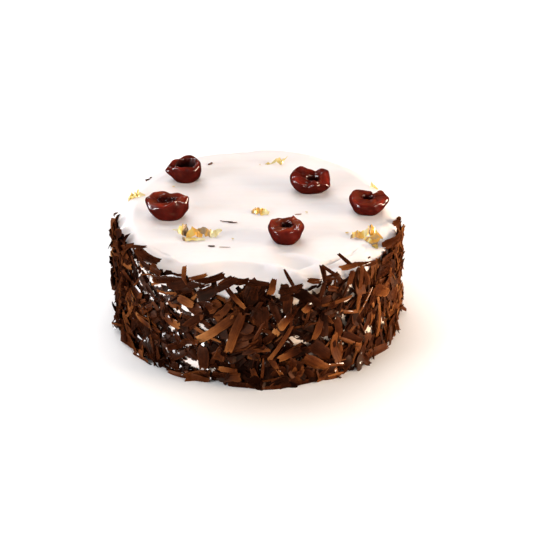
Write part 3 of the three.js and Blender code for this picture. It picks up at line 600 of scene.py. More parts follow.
def large_shavings(rng):
    """The listed large shavings as one set of strips: an end's angle steps along the bed's circle, and
    length and turn are those of the line between the two ends."""
    table = dict(zip(LARGE_KEYS, np.array(LARGE, float).T))
    for end in ("z0", "z1"):
        table[end] = np.maximum(table[end], LOWEST_END)
    count = len(LARGE)
    dx = np.radians(table["a1"] - table["a0"]) * (BED_RADIUS + 2)
    dz = table["z1"] - table["z0"]
    angle, height = (table["a0"] + table["a1"]) / 2, (table["z0"] + table["z1"]) / 2
    lift = np.minimum(table["lift"], 0.8 + 0.22 * height)
    return dict(
        angle=angle, z=height,
        length=np.hypot(dx, dz),
        turn=np.degrees(np.arctan2(dz, dx)),
        width=table["width"],
        # Partly painted shade: the front's shavings are darkened.
        shade=table["shade"] * LARGE_SHADE,
        shade_end=table["shade_end"] * LARGE_SHADE,
        radius=BED_RADIUS - LARGE_SUNK + foot(angle, height) + lift,
        thick=rng.uniform(0.5, 0.85, count),
        lean=rng.normal(0, 2.5, count),
        roll=rng.normal(0, 7, count),
        bend=rng.normal(0.3, 0.22, count),
        cup=np.where(table["width"] < SLENDER, 0.7, 0.3) + rng.normal(0, 0.22, count),
        twist=rng.normal(0, 0.12, count),
        taper=rng.uniform(0, 0.25, count),
        tip=np.full(count, 0.3),
        gloss=rng.uniform(0.1, 0.9, count),
    )


# ------------------------------------------------------------------ materials
def material(name):
    """A new material: returns it, its nodes, a link function and its Principled shader."""
    mat = bpy.data.materials.new(name)
    mat.use_nodes = True
    nodes, links = mat.node_tree.nodes, mat.node_tree.links
    return mat, nodes, links.new, nodes["Principled BSDF"]


def set_inputs(node, values):
    """Sets a node's unlinked inputs by name or number."""
    for key, value in values.items():
        node.inputs[key].default_value = value


def add(nodes, kind, inputs=None, **settings):
    """Adds a shader node, sets its properties and the values of its unlinked inputs."""
    node = nodes.new(kind)
    for key, value in settings.items():
        setattr(node, key, value)
    set_inputs(node, inputs or {})
    return node


def attribute(nodes, name):
    """A node that reads one of the mesh's own attributes."""
    return add(nodes, "ShaderNodeAttribute", attribute_name=name)


def ramp(nodes, stops):
    """A colour ramp from (position, linear colour) stops."""
    node = nodes.new("ShaderNodeValToRGB")
    elements = node.color_ramp.elements
    while len(elements) < len(stops):
        elements.new(0.5)
    for element, (position, colour) in zip(elements, stops):
        element.position = position
        element.color = (*colour, 1)
    return node


# Chocolate's colours by shade, from the darkest to the palest.
CHOCOLATE = [
    (0.0, (0.008, 0.0014, 0.0004)), (0.2, (0.029, 0.0058, 0.0014)), (0.42, (0.075, 0.0180, 0.0040)),
    (0.65, (0.153, 0.046, 0.0107)), (0.85, (0.25, 0.092, 0.026)), (1.0, (0.35, 0.15, 0.050)),
]
EDGE_PALER = 0.12  # how much a broken edge adds to the shade
# The mottle group's inputs: name, kind of socket and default.
MOTTLE_INPUTS = [
    ("Value", "NodeSocketFloat", 0.0), ("Grain", "NodeSocketVector", None),
    ("Place", "NodeSocketVector", None), ("Grain Strength", "NodeSocketFloat", 0.3),
    ("Blotch Strength", "NodeSocketFloat", 0.2), ("Blotch Scale", "NodeSocketFloat", 200.0),
]


def mottle_group():
    """A node group that both chocolate and cherry use: a value moved up and down by fine grain and by
    broader blotches, each with its own strength."""
    group = bpy.data.node_groups.new("mottle", "ShaderNodeTree")
    for name, kind, default in MOTTLE_INPUTS:
        socket = group.interface.new_socket(name, in_out="INPUT", socket_type=kind)
        if default is not None:
            socket.default_value = default
    for name in ("Value", "Lines"):
        group.interface.new_socket(name, in_out="OUTPUT", socket_type="NodeSocketFloat")
    nodes, link = group.nodes, group.links.new
    given, result = nodes.new("NodeGroupInput"), nodes.new("NodeGroupOutput")
    lines = add(nodes, "ShaderNodeTexNoise", {"Scale": 1.0, "Detail": 4.0, "Roughness": 0.62})
    blotch = add(nodes, "ShaderNodeTexNoise", {"Detail": 2.0})
    link(given.outputs["Grain"], lines.inputs["Vector"])
    link(given.outputs["Place"], blotch.inputs["Vector"])
    link(given.outputs["Blotch Scale"], blotch.inputs["Scale"])
    total = given.outputs["Value"]
    for source, strength in ((lines, "Grain Strength"), (blotch, "Blotch Strength")):
        centred = add(nodes, "ShaderNodeMath", {1: 0.5}, operation="SUBTRACT")
        scaled = add(nodes, "ShaderNodeMath", operation="MULTIPLY")
        joined = add(nodes, "ShaderNodeMath", operation="ADD")
        link(source.outputs["Fac"], centred.inputs[0])
        link(centred.outputs[0], scaled.inputs[0])
        link(given.outputs[strength], scaled.inputs[1])
        link(total, joined.inputs[0])
        link(scaled.outputs[0], joined.inputs[1])
        total = joined.outputs[0]
    link(total, result.inputs["Value"])
    link(lines.outputs["Fac"], result.inputs["Lines"])
    return group


def mottled(nodes, link, group, value, grain, where, values):
    """Places the mottle group in a material, with that material's own values."""
    node = add(nodes, "ShaderNodeGroup", node_tree=group)
    link(value, node.inputs["Value"])
    link(grain, node.inputs["Grain"])
    link(where, node.inputs["Place"])
    set_inputs(node, values)
    return node


def edge_group():
    """A node group: how near a strip's border a point is, from place in the strip (-1 to 1 along and
    across). The larger of the two distances, roughened by noise, from `Start` to 1."""
    group = bpy.data.node_groups.new("broken_edge", "ShaderNodeTree")
    group.interface.new_socket("Border", in_out="INPUT", socket_type="NodeSocketVector")
    start = group.interface.new_socket("Start", in_out="INPUT", socket_type="NodeSocketFloat")
    start.default_value = 0.7
    group.interface.new_socket("Mask", in_out="OUTPUT", socket_type="NodeSocketFloat")
    nodes, link = group.nodes, group.links.new
    given, result = nodes.new("NodeGroupInput"), nodes.new("NodeGroupOutput")
    size = add(nodes, "ShaderNodeVectorMath", operation="ABSOLUTE")
    parts = add(nodes, "ShaderNodeSeparateXYZ")
    larger = add(nodes, "ShaderNodeMath", operation="MAXIMUM")
    rough = add(nodes, "ShaderNodeTexNoise", {"Scale": 7.0, "Detail": 3.0})
    nudge = add(nodes, "ShaderNodeMapRange", {"To Min": -0.35, "To Max": 0.35})
    total = add(nodes, "ShaderNodeMath", operation="ADD")
    mask = add(nodes, "ShaderNodeMapRange")
    link(given.outputs["Border"], size.inputs[0])
    link(size.outputs["Vector"], parts.inputs["Vector"])
    link(parts.outputs["X"], larger.inputs[0])
    link(parts.outputs["Y"], larger.inputs[1])
    link(given.outputs["Border"], rough.inputs["Vector"])
    link(rough.outputs["Fac"], nudge.inputs["Value"])
    link(larger.outputs[0], total.inputs[0])
    link(nudge.outputs["Result"], total.inputs[1])
    link(total.outputs[0], mask.inputs["Value"])
    link(given.outputs["Start"], mask.inputs["From Min"])
    link(mask.outputs["Result"], result.inputs["Mask"])
    return group


def chocolate_material(mottle):
    """Shavings: colour follows each strip's shade, with lines along its length and paler broken edges.
    The wetter a strip, the smoother it is, and the larger the rippled patches that shine."""
    mat, nodes, link, shader = material("shaved_chocolate")
    shade = attribute(nodes, "shade")
    gloss = attribute(nodes, "gloss")
    grain = attribute(nodes, "grain")
    border = attribute(nodes, "border")
    stretch = add(nodes, "ShaderNodeMapping", {"Scale": (0.06, 1.5, 1.0)})
    link(grain.outputs["Vector"], stretch.inputs["Vector"])
    coordinates = add(nodes, "ShaderNodeTexCoord")
    value = mottled(nodes, link, mottle, shade.outputs["Fac"], stretch.outputs["Vector"],
                    coordinates.outputs["Object"],
                    {"Grain Strength": 0.4, "Blotch Strength": 0.3, "Blotch Scale": 240.0})
    edge = add(nodes, "ShaderNodeGroup", node_tree=edge_group())
    link(border.outputs["Vector"], edge.inputs["Border"])
    paler = add(nodes, "ShaderNodeMath", {1: EDGE_PALER}, operation="MULTIPLY")
    link(edge.outputs["Mask"], paler.inputs[0])
    total = add(nodes, "ShaderNodeMath", operation="ADD")
    link(value.outputs["Value"], total.inputs[0])
    link(paler.outputs[0], total.inputs[1])
    colour = ramp(nodes, CHOCOLATE)
    link(total.outputs[0], colour.inputs["Fac"])
    link(colour.outputs["Color"], shader.inputs["Base Color"])
    rough = add(nodes, "ShaderNodeMapRange", {"To Min": 0.55, "To Max": 0.34})
    link(gloss.outputs["Fac"], rough.inputs["Value"])
    link(rough.outputs["Result"], shader.inputs["Roughness"])
    patch = add(nodes, "ShaderNodeTexNoise", {"Scale": 340.0, "Detail": 1.0})
    link(coordinates.outputs["Object"], patch.inputs["Vector"])
    wet = add(nodes, "ShaderNodeMath", operation="ADD")
    link(gloss.outputs["Fac"], wet.inputs[0])
    link(patch.outputs["Fac"], wet.inputs[1])
    coat = add(nodes, "ShaderNodeMapRange", {"From Min": 1.07, "From Max": 1.12})
    link(wet.outputs[0], coat.inputs["Value"])
    link(coat.outputs["Result"], shader.inputs["Coat Weight"])
    bump = add(nodes, "ShaderNodeBump", {"Strength": 0.5, "Distance": 0.0003})
    link(value.outputs["Lines"], bump.inputs["Height"])
    link(bump.outputs["Normal"], shader.inputs["Normal"])
    ripple = add(nodes, "ShaderNodeTexNoise", {"Scale": 230.0, "Detail": 0.5})
    link(coordinates.outputs["Object"], ripple.inputs["Vector"])
    melted = add(nodes, "ShaderNodeBump", {"Strength": 0.8, "Distance": 0.0008})
    link(ripple.outputs["Fac"], melted.inputs["Height"])
    link(melted.outputs["Normal"], shader.inputs["Coat Normal"])
    set_inputs(shader, {
        "Specular IOR Level": 0.09, "Specular Tint": (1.0, 0.75, 0.55, 1), "Coat Roughness": 0.03,
    })
    return mat


# Whipped cream's two tints, its colour in painted shade between the shavings, and the crumbs'.
CREAM = [(0.3, (0.82, 0.755, 0.735)), (0.7, (0.845, 0.795, 0.78))]
CREAM_IN_SHADE = (0.62, 0.50, 0.39, 1)
CRUMBS = [(0.35, (0.012, 0.004, 0.002)), (0.7, (0.06, 0.02, 0.009))]


def cream_material():
    """Whipped cream: warm white with faint knife lines, browner with painted shade between the
    shavings, and crumbs of chocolate where the wall is coated."""
    mat, nodes, link, shader = material("whipped_cream")
    coordinates = add(nodes, "ShaderNodeTexCoord")
    stretch = add(nodes, "ShaderNodeMapping", {"Scale": (12.0, 130.0, 60.0)})
    link(coordinates.outputs["Object"], stretch.inputs["Vector"])
    knife = add(nodes, "ShaderNodeTexNoise", {"Scale": 1.0, "Detail": 5.0, "Roughness": 0.55})
    link(stretch.outputs["Vector"], knife.inputs["Vector"])
    tint = ramp(nodes, CREAM)
    link(knife.outputs["Fac"], tint.inputs["Fac"])
    coated = attribute(nodes, "coated")
    crumb = add(nodes, "ShaderNodeTexNoise", {"Scale": 420.0, "Detail": 3.0})
    link(coordinates.outputs["Object"], crumb.inputs["Vector"])
    crumbs = ramp(nodes, CRUMBS)
    link(crumb.outputs["Fac"], crumbs.inputs["Fac"])
    speck = add(nodes, "ShaderNodeMapRange", {"From Min": 0.35, "From Max": 0.38})
    link(crumb.outputs["Fac"], speck.inputs["Value"])
    jagged = add(nodes, "ShaderNodeMapRange", {"To Min": -0.45, "To Max": 0.45})
    link(crumb.outputs["Fac"], jagged.inputs["Value"])
    nearer = add(nodes, "ShaderNodeMath", operation="ADD")
    link(coated.outputs["Fac"], nearer.inputs[0])
    link(jagged.outputs["Result"], nearer.inputs[1])
    sharp = add(nodes, "ShaderNodeMapRange", {"From Min": 0.47, "From Max": 0.53})
    link(nearer.outputs[0], sharp.inputs["Value"])
    cover = add(nodes, "ShaderNodeMath", operation="MULTIPLY")
    link(speck.outputs["Result"], cover.inputs[0])
    link(sharp.outputs["Result"], cover.inputs[1])
    # Painted shade: the cream left bare between the shavings is mixed towards a darker brown, as if in their
    # shadow.
    gap_shade = attribute(nodes, "gap_shade")
    shaded_gap_cream = add(nodes, "ShaderNodeMix", {"B": CREAM_IN_SHADE}, data_type="RGBA")
    link(gap_shade.outputs["Fac"], shaded_gap_cream.inputs["Factor"])
    link(tint.outputs["Color"], shaded_gap_cream.inputs["A"])
    mixed = add(nodes, "ShaderNodeMix", data_type="RGBA")
    link(cover.outputs[0], mixed.inputs["Factor"])
    link(shaded_gap_cream.outputs["Result"], mixed.inputs["A"])
    link(crumbs.outputs["Color"], mixed.inputs["B"])
    link(mixed.outputs["Result"], shader.inputs["Base Color"])
    bump = add(nodes, "ShaderNodeBump", {"Strength": 0.15, "Distance": 0.0003})
    link(knife.outputs["Fac"], bump.inputs["Height"])
    link(bump.outputs["Normal"], shader.inputs["Normal"])
    set_inputs(shader, {
        "Roughness": 0.5, "Specular IOR Level": 0.3, "Subsurface Weight": 0.35,
        "Subsurface Radius": (1.0, 0.75, 0.6), "Subsurface Scale": 0.002,
    })
    return mat


# Cherry flesh from near black in the hollow, which is painted shade, to red where it is thin, which is
# painted light shining through, and the ochre of its cut rim.
CHERRY_FLESH = [
    (0.0, (0.007, 0.0007, 0.0005)), (0.3, (0.052, 0.0042, 0.0022)), (0.6, (0.145, 0.0110, 0.0056)),
    (1.0, (0.38, 0.024, 0.010)),
]
CUT_RIM = (0.25, 0.062, 0.022, 1)


def cherry_material(mottle):
    """Syrup cherry: near-black red in the hollow as painted shade, redder where thin as painted light shining
    through, ochre along the cut rim, wet.
    """
    mat, nodes, link, shader = material("syrup_cherry")
    thin = attribute(nodes, "thin")
    rim = attribute(nodes, "rim")
    coordinates = add(nodes, "ShaderNodeTexCoord")
    fine = add(nodes, "ShaderNodeMapping", {"Scale": (520.0, 520.0, 260.0)})
    link(coordinates.outputs["Object"], fine.inputs["Vector"])
    value = mottled(nodes, link, mottle, thin.outputs["Fac"], fine.outputs["Vector"],
                    coordinates.outputs["Object"],
                    {"Grain Strength": 0.2, "Blotch Strength": 0.35, "Blotch Scale": 170.0})
    colour = ramp(nodes, CHERRY_FLESH)
    link(value.outputs["Value"], colour.inputs["Fac"])
    mixed = add(nodes, "ShaderNodeMix", {"B": CUT_RIM}, data_type="RGBA")
    link(rim.outputs["Fac"], mixed.inputs["Factor"])
    link(colour.outputs["Color"], mixed.inputs["A"])
    link(mixed.outputs["Result"], shader.inputs["Base Color"])
    bump = add(nodes, "ShaderNodeBump", {"Strength": 0.25, "Distance": 0.0005})
    link(value.outputs["Lines"], bump.inputs["Height"])
    link(bump.outputs["Normal"], shader.inputs["Normal"])
    dimple = add(nodes, "ShaderNodeTexNoise", {"Scale": 240.0, "Detail": 1.5})
    link(coordinates.outputs["Object"], dimple.inputs["Vector"])
    syrup = add(nodes, "ShaderNodeBump", {"Strength": 0.8, "Distance": 0.0006})
    link(dimple.outputs["Fac"], syrup.inputs["Height"])
    link(syrup.outputs["Normal"], shader.inputs["Coat Normal"])
    set_inputs(shader, {
        "Roughness": 0.3, "Specular IOR Level": 0.3, "Subsurface Weight": 0.15,
        "Subsurface Radius": (1.0, 0.12, 0.06), "Subsurface Scale": 0.0016,
        "Coat Weight": 1.0, "Coat Roughness": 0.05,
    })
    return mat


# Gold leaf by tone, from grey-brown to pale yellow: painted reflection, dark where a facet catches no light
# and pale where it glints.
GOLD = [
    (0.0, (0.11, 0.065, 0.03)), (0.3, (0.42, 0.31, 0.19)), (0.5, (0.90, 0.46, 0.075)),
    (0.75, (0.82, 0.62, 0.19)), (1.0, (0.95, 0.87, 0.55)),
]


def gold_material():
    """Gold leaf: each facet has its own tone, a painted reflection from dark to glinting pale, worn a little,
    part metal and part pigment.
    """
    mat, nodes, link, shader = material("gold_leaf")
    tone = attribute(nodes, "tone")
    coordinates = add(nodes, "ShaderNodeTexCoord")
    wear = add(nodes, "ShaderNodeTexNoise", {"Scale": 700.0, "Detail": 3.0})
    link(coordinates.outputs["Object"], wear.inputs["Vector"])
    centred = add(nodes, "ShaderNodeMapRange", {"To Min": -0.14, "To Max": 0.14})
    link(wear.outputs["Fac"], centred.inputs["Value"])
    value = add(nodes, "ShaderNodeMath", operation="ADD")
    link(tone.outputs["Fac"], value.inputs[0])
    link(centred.outputs["Result"], value.inputs[1])
    colour = ramp(nodes, GOLD)
    link(value.outputs[0], colour.inputs["Fac"])
    link(colour.outputs["Color"], shader.inputs["Base Color"])
    bump = add(nodes, "ShaderNodeBump", {"Strength": 0.3, "Distance": 0.0002})
    link(wear.outputs["Fac"], bump.inputs["Height"])
    link(bump.outputs["Normal"], shader.inputs["Normal"])
    set_inputs(shader, {"Metallic": 0.3, "Roughness": 0.28})
    return mat


# ------------------------------------------------------------------ cream piece
AROUND = 480  # points in a row
FIRST_RADIUS = 0.6
OUTER_TOP = 52.0  # rows stand closer together further out, where the folds are
TOP_ROWS = (80, 51)  # inside OUTER_TOP and outside it
WALL_ROWS = 57
CORNER_SHARE = 1 / 22  # of the wall's height, in which the rim turns down
COAT_LIMIT, COAT_DROP = 59, 4  # crumbs end below this height, and this far below the shavings' edge
# How much painted shade browns the cream between the shavings, by angle.
GAP_SHADE = [(-180, 0.6), (-150, 0.4), (-112, 0.35), (-98, 0.8), (-30, 0.95), (180, 0.6)]


def cream_piece(mat):
    """Top rows at growing radii under cream_top, then wall rows down to the base at wall_radius. The
    attribute `coated` says where crumbs of chocolate cover the wall, with a ragged border, and a
    second attribute says how far painted shade browns the cream between them."""
    angle = np.linspace(0, TAU, AROUND, endpoint=False)[None, :]
    inner, outer = TOP_ROWS
    outward = np.linspace(OUTER_TOP, RIM_RADIUS, outer + 1)[1:]
    radii = np.concatenate([np.linspace(FIRST_RADIUS, OUTER_TOP, inner), outward])[:, None]
    x, y = radii * np.cos(angle), radii * np.sin(angle)
    top = np.stack([x, y, cream_top(x, y)], -1)
    fall = np.linspace(0, 1, WALL_ROWS + 1)[1:, None]
    z = top[-1, :, 2][None, :] * (1 - fall)
    blend = smooth(fall / CORNER_SHARE)
    r = RIM_RADIUS * (1 - blend) + wall_radius(angle, z) * blend
    wall = np.stack(np.broadcast_arrays(r * np.cos(angle), r * np.sin(angle), z), -1)
    rows = np.concatenate([top, wall])
    theta = np.degrees(np.arctan2(rows[..., 1], rows[..., 0]))
    height = rows[..., 2]
    ragged = 0.9 * np.sin(theta * 1.9 + height * 0.7) + 0.7 * np.sin(theta * 3.7 - height * 0.9)
    on_wall = smooth((np.hypot(rows[..., 0], rows[..., 1]) - RIM_RADIUS - 0.2) / 0.5)
    coated = smooth((-bareness(theta, height) + ragged * 0.3 + 0.7) / 1.4)
    upper = np.minimum(top_edge(theta), COAT_LIMIT) - COAT_DROP
    coated = coated * smooth((upper + ragged - height) / 1.2) * on_wall
    # Painted shade on the cream between the shavings, fading out towards the chocolate's upper edge.
    gap_shade = round_the_cake(GAP_SHADE, theta)[0] * smooth((top_edge(theta) + ragged - height) / 5) * on_wall
    middle = float(cream_top(np.zeros(1), np.zeros(1))[0])
    attributes = dict(coated=coated, gap_shade=gap_shade)
    obj = turned_mesh("cream", [0, 0, middle], rows, [0, 0, 0], attributes, flip=True)
    obj.visible_glossy = False  # a bright cream in every reflection would grey the dark chocolate
    place(obj, mat, "cream", "cake")


# ------------------------------------------------------------------ chocolate pieces
# The scattered kinds, the finest first: name, stations along a strip, points across it, and how
# `scattered` draws it.
KINDS = [
    # The chips lie deepest, against the cream, and have the darkest shades: partly painted shade for the gaps
    # between the shavings.
    ("chocolate_chips", 3, 2, dict(
        count=4000, length=(2.5, 6), width=(1.4, 3.8), thick=(0.4, 0.8), lift=(-0.3, 0.4), tip=0.3,
        roll=12, margin=0.6, overtop=-1.0, low=0, shade=(0.0, 0.16), cross=0.16)),
    ("chocolate_flakes", 6, 3, dict(
        count=1150, length=(7, 17), width=(3, 8), thick=(0.4, 0.7), lift=(0.2, 2.0), roll=14, bend=0.8,
        cup=0.6, margin=0.7, overtop=0.2, shade=(0.0, 0.38), cross=0.14)),
    ("chocolate_slivers", 7, 2, dict(
        count=950, length=(7, 20), width=(0.7, 2.0), thick=(0.5, 1.0), lift=(0.8, 2.6), slender=1,
        roll=20, bend=0.7, margin=0.6, overtop=0.5, shade=(0.05, 0.7), cross=0.45)),
    ("chocolate_curls", 7, 4, dict(
        count=260, length=(10, 19), width=(2.5, 7), thick=(0.4, 0.7), lift=(1.0, 2.4), lean=5, roll=10,
        bend=0.8, cup=0.7, twist=0.5, overtop=0.3, shade=(0.05, 0.6), low=4, cross=0.1)),
]
LARGE_GRID = (16, 7)  # stations along a large shaving and points across it


def chocolate_pieces(mat):
    """The wall's chocolate, from the finest chips next to the cream to the large shavings outside."""
    rng = np.random.default_rng(SEEDS["chocolate"])
    for name, stations, columns, draw in KINDS:
        obj = strips(name, scattered(rng, **draw), stations, columns, rng)
        place(obj, mat, "chocolate", "cake")
    obj = strips("chocolate_large", large_shavings(rng), *LARGE_GRID, rng, wave=0.1, jag=0.05)
    place(obj, mat, "chocolate", "cake")


# Scraps that dropped on the cream: (x, y), length, width, turn and shade.
SCRAPS = [
    (-16.5, -11.6, 7.0, 0.5, -7, 0.12), (-13.2, -12.6, 5.0, 0.6, -5, 0.2), (-24, -37.2, 3.4, 0.9, -4, 0.1),
    (-17, -38.4, 6.0, 0.35, -3, 0.45), (-27, 52, 2.2, 1.0, 20, 0.4), (-26, 53.4, 1.4, 0.8, -30, 0.5),
    (-61.5, 38.5, 3.0, 1.4, 30, 0.25), (-60, 41, 2.0, 1.0, 70, 0.35), (22, -4, 3.5, 0.5, 5, 0.75),
    (-49, -57.5, 5.2, 3.0, -35, 0.15), (-46, -59.5, 4.0, 2.2, 20, 0.2), (-52, -56, 3.0, 1.8, -70, 0.16),
    (-44, -61.5, 3.4, 1.8, 60, 0.3), (58, -44, 2.2, 0.8, 60, 0.4), (66, -32, 2.0, 0.8, 40, 0.4),
]
SCRAP_KEYS = ("x", "y", "length", "width", "turn", "shade")


def scraps_piece(mat):
    """Thin strips lying flat on the cream, each level but for its turn about the vertical."""
    rng = np.random.default_rng(SEEDS["scraps"])
    table = dict(zip(SCRAP_KEYS, np.array(SCRAPS, float).T))
    count = len(SCRAPS)
    centres = np.stack([table["x"], table["y"], cream_top(table["x"], table["y"]) + 0.3], -1)
    cosine, sine = unit(table["turn"])
    zero, one = np.zeros(count), np.ones(count)
    axes = np.stack([np.stack([cosine, sine, zero], -1), np.stack([-sine, cosine, zero], -1),
                     np.stack([zero, zero, one], -1)], 1)
    spec = dict(
        length=table["length"], width=table["width"], shade=table["shade"], shade_end=table["shade"],
        thick=np.minimum(0.6, table["width"] * 0.5),
        bend=rng.normal(-0.2, 0.2, count),
        cup=rng.normal(0.2, 0.3, count),
        twist=rng.normal(0, 0.2, count),
        taper=one * 0.2, tip=one * 0.6, gloss=one * 0.3,
    )
    obj = strips("chocolate_scraps", spec, 6, 3, rng, centres=centres, axes=axes)
    place(obj, mat, "chocolate", "cake")


# ------------------------------------------------------------------ cherries
CHERRY_SEAT = 1.2  # how deep a cherry sits in the cream
CHERRY_AROUND = 108
PROFILE_STEPS = 6  # rows between two points of the profile
HOLLOW_POINTS = 5  # the profile's points inside the rim
RIM_SHARE = 0.88  # the cut rim's top, as a share of the half-width
# The wall's profile from the base to the rim, as shares of the half-width and of the height.
CHERRY_WALL = [(0, 0), (0.34, 0.005), (0.56, 0.04), (0.76, 0.17), (0.92, 0.42), (1, 0.7), (0.985, 0.88),
               (RIM_SHARE, 0.99)]
# x and y are the place, wide and deep the widths, tall the height above the cream, and spin the turn
# in degrees. `pit` is the radius of the stone's hollow as a share of the half-width, `hollow` its depth
# as a share of the height, and `slit` narrows it from front to back.
# `outline` and `rim` are multiples of the half-width and of the height at eight turns from +X by the
# back; `hole` and `foot` shift the stone's hollow and the base, as shares of the half-widths. `bare`
# is how ochre the cut face is, and `thin` how red the flesh. A bump has an angle, how far it goes
# outwards and upwards, and a sharpness.
CHERRIES = {
    "cherry_front": dict(
        x=14.9, y=-30.7, wide=18.2, deep=16.5, tall=10, spin=0, pit=0.36, hollow=0.45, hole=(0.1, 0.1),
        slit=1.0, foot=(0.0, 0.0), outline=(1.0, 0.98, 0.95, 0.97, 1.0, 1.0, 1.0, 0.99),
        rim=(1.02, 1.0, 1.0, 0.97, 0.95, 0.96, 0.98, 1.0), bare=0.6, thin=0.05,
        bumps=[(56, -0.03, 0.14, 110), (232, 0.03, -0.05, 12), (150, 0.02, 0.05, 30)]),
    "cherry_left": dict(
        x=-48.7, y=-5.7, wide=22.2, deep=15.6, tall=11.4, spin=-3, pit=0.46, hollow=0.16, hole=(0.0, -0.1),
        slit=0.4, foot=(0.12, -0.04), outline=(1.04, 0.98, 0.84, 1.02, 1.0, 1.0, 0.98, 0.84),
        rim=(1.02, 1.0, 1.0, 1.04, 1.02, 0.96, 0.92, 0.98), bare=0.35, thin=0.06,
        bumps=[(4, 0.06, 0.06, 60), (262, -0.05, -0.04, 16), (222, 0.05, -0.06, 20), (150, 0.03, 0.0, 40)]),
    "cherry_back_left": dict(
        x=-40.6, y=35.6, wide=18.4, deep=15.4, tall=10.4, spin=0, pit=0.64, hollow=0.9, hole=(0.24, 0.2),
        slit=0.9, foot=(0.1, 0.0), outline=(1.0, 1.02, 0.96, 0.88, 1.04, 0.9, 0.94, 1.0),
        rim=(1.02, 1.08, 1.04, 0.98, 0.76, 0.9, 0.98, 0.98), bare=0.12, thin=0.02,
        bumps=[(187, 0.1, 0.0, 40), (62, 0.0, 0.06, 20), (150, 0.02, 0.06, 40), (225, 0.05, 0.06, 30)]),
    "cherry_back_right": dict(
        x=29.7, y=24.4, wide=21.6, deep=18, tall=9.0, spin=-4, pit=0.34, hollow=0.95, hole=(0.14, -0.26),
        slit=0.9, foot=(-0.05, 0.0), outline=(0.98, 1.0, 0.96, 0.98, 1.02, 1.06, 0.86, 0.94),
        rim=(0.84, 1.04, 1.02, 1.22, 1.12, 0.94, 0.72, 0.74), bare=0.05, thin=0.04,
        bumps=[(76, -0.05, -0.16, 50), (228, 0.07, -0.05, 26), (256, -0.12, -0.08, 40), (24, 0.05, 0.1, 40),
               (284, 0.06, 0.16, 30), (160, 0.05, -0.12, 30), (335, 0.05, -0.1, 40), (190, 0.0, -0.1, 60)]),
    "cherry_right": dict(
        x=59.9, y=0.2, wide=20, deep=16.6, tall=9.0, spin=0, pit=0.3, hollow=0.7, hole=(-0.04, 0.1),
        slit=0.85, foot=(-0.05, 0.0), outline=(1.02, 1.02, 0.94, 1.0, 1.0, 1.0, 1.0, 0.92),
        rim=(0.9, 1.0, 0.98, 1.06, 0.96, 0.84, 0.82, 0.84), bare=0.3, thin=0.06,
        bumps=[(64, -0.08, -0.26, 90), (6, 0.05, 0.0, 30), (155, 0.02, 0.04, 10), (40, 0.02, 0.06, 60)]),
}


def around(values, turn):
    """Periodic Catmull-Rom curve through values at equal steps of the turn."""
    v = np.array(values, float)
    at = np.asarray(turn) / TAU * len(v)
    i = np.floor(at).astype(int)
    t = at - i
    a, b, c, d = (v[(i + k) % len(v)] for k in (-1, 0, 1, 2))
    return catmull_rom(a, b, c, d, t)


def cherry_rows(cherry, rng):
    """A cup: the profile of wall, rim and stone's hollow turned round an upright axis. Its radius and
    height follow `outline` and `rim`, then bumps exp(sharpness (cos(turn - angle) - 1)) and gentle
    lumps. Returns the rows of points, the place along the profile and the turn."""
    pit, hollow = cherry["pit"], cherry["hollow"]
    profile = CHERRY_WALL + [
        ((pit * 2 + RIM_SHARE) / 3, 0.965), (pit, 0.9), (pit * 0.86, 1 - 0.5 * hollow),
        (pit * 0.55, 1 - 0.88 * hollow), (0, 1 - hollow),
    ]
    path = np.clip(smooth_path(profile, PROFILE_STEPS)[1:-1], 0.001, None)
    inner = np.arange(len(path))[:, None] > PROFILE_STEPS * (len(CHERRY_WALL) - 1)
    turn = np.linspace(0, TAU, CHERRY_AROUND, endpoint=False)[None, :]
    share, height = path[:, :1], path[:, 1:]
    hold = np.where(inner, smooth(share / RIM_SHARE), smooth(height * 1.7))
    out = 1 + (around(cherry["outline"], turn) - 1) * hold
    rise = 1 + (around(cherry["rim"], turn) - 1) * np.where(inner, hold, hold * height)
    for angle, outwards, upwards, sharpness in cherry["bumps"]:
        near = np.exp((np.cos(turn - math.radians(angle)) - 1) * sharpness)
        out = out + outwards * near * hold
        rise = rise + upwards * near * hold * height
    phase = rng.uniform(0, TAU, 8)
    lumps = 0.026 * np.sin(3 * turn + phase[0] + 3 * height) + 0.024 * np.sin(5 * turn + phase[1] - 4 * share)
    lumps = lumps + 0.020 * np.sin(9 * turn + phase[2] + 7 * height) * hold
    dents = 0.030 * np.sin(4 * turn + phase[5] + 14 * share) * np.sin(9 * height + phase[6])
    shift = np.where(inner, 1 - hold, 0)
    sink = np.where(inner, 0, (1 - height) ** 2)
    reach = share * (out + lumps + dents)
    lx = reach * np.cos(turn) + cherry["hole"][0] * shift + cherry["foot"][0] * sink
    lx = lx * cherry["wide"] / 2
    narrow = 1 - (1 - cherry["slit"]) * shift
    ly = reach * np.sin(turn) * narrow + cherry["hole"][1] * shift + cherry["foot"][1] * sink
    ly = ly * cherry["deep"] / 2
    wave = 0.02 * np.sin(3 * turn + phase[3]) + 0.018 * np.sin(7 * turn + phase[4])
    lz = (cherry["tall"] + CHERRY_SEAT) * height * (rise + wave * share + dents)
    cs, sn = unit(cherry["spin"])
    seat = float(cream_top(np.array([cherry["x"]]), np.array([cherry["y"]]))[0]) - CHERRY_SEAT
    x, y = cherry["x"] + cs * lx - sn * ly, cherry["y"] + sn * lx + cs * ly
    rows = np.stack(np.broadcast_arrays(x, y, seat + lz), -1)
    return rows, np.arange(len(path))[:, None] / len(path), turn


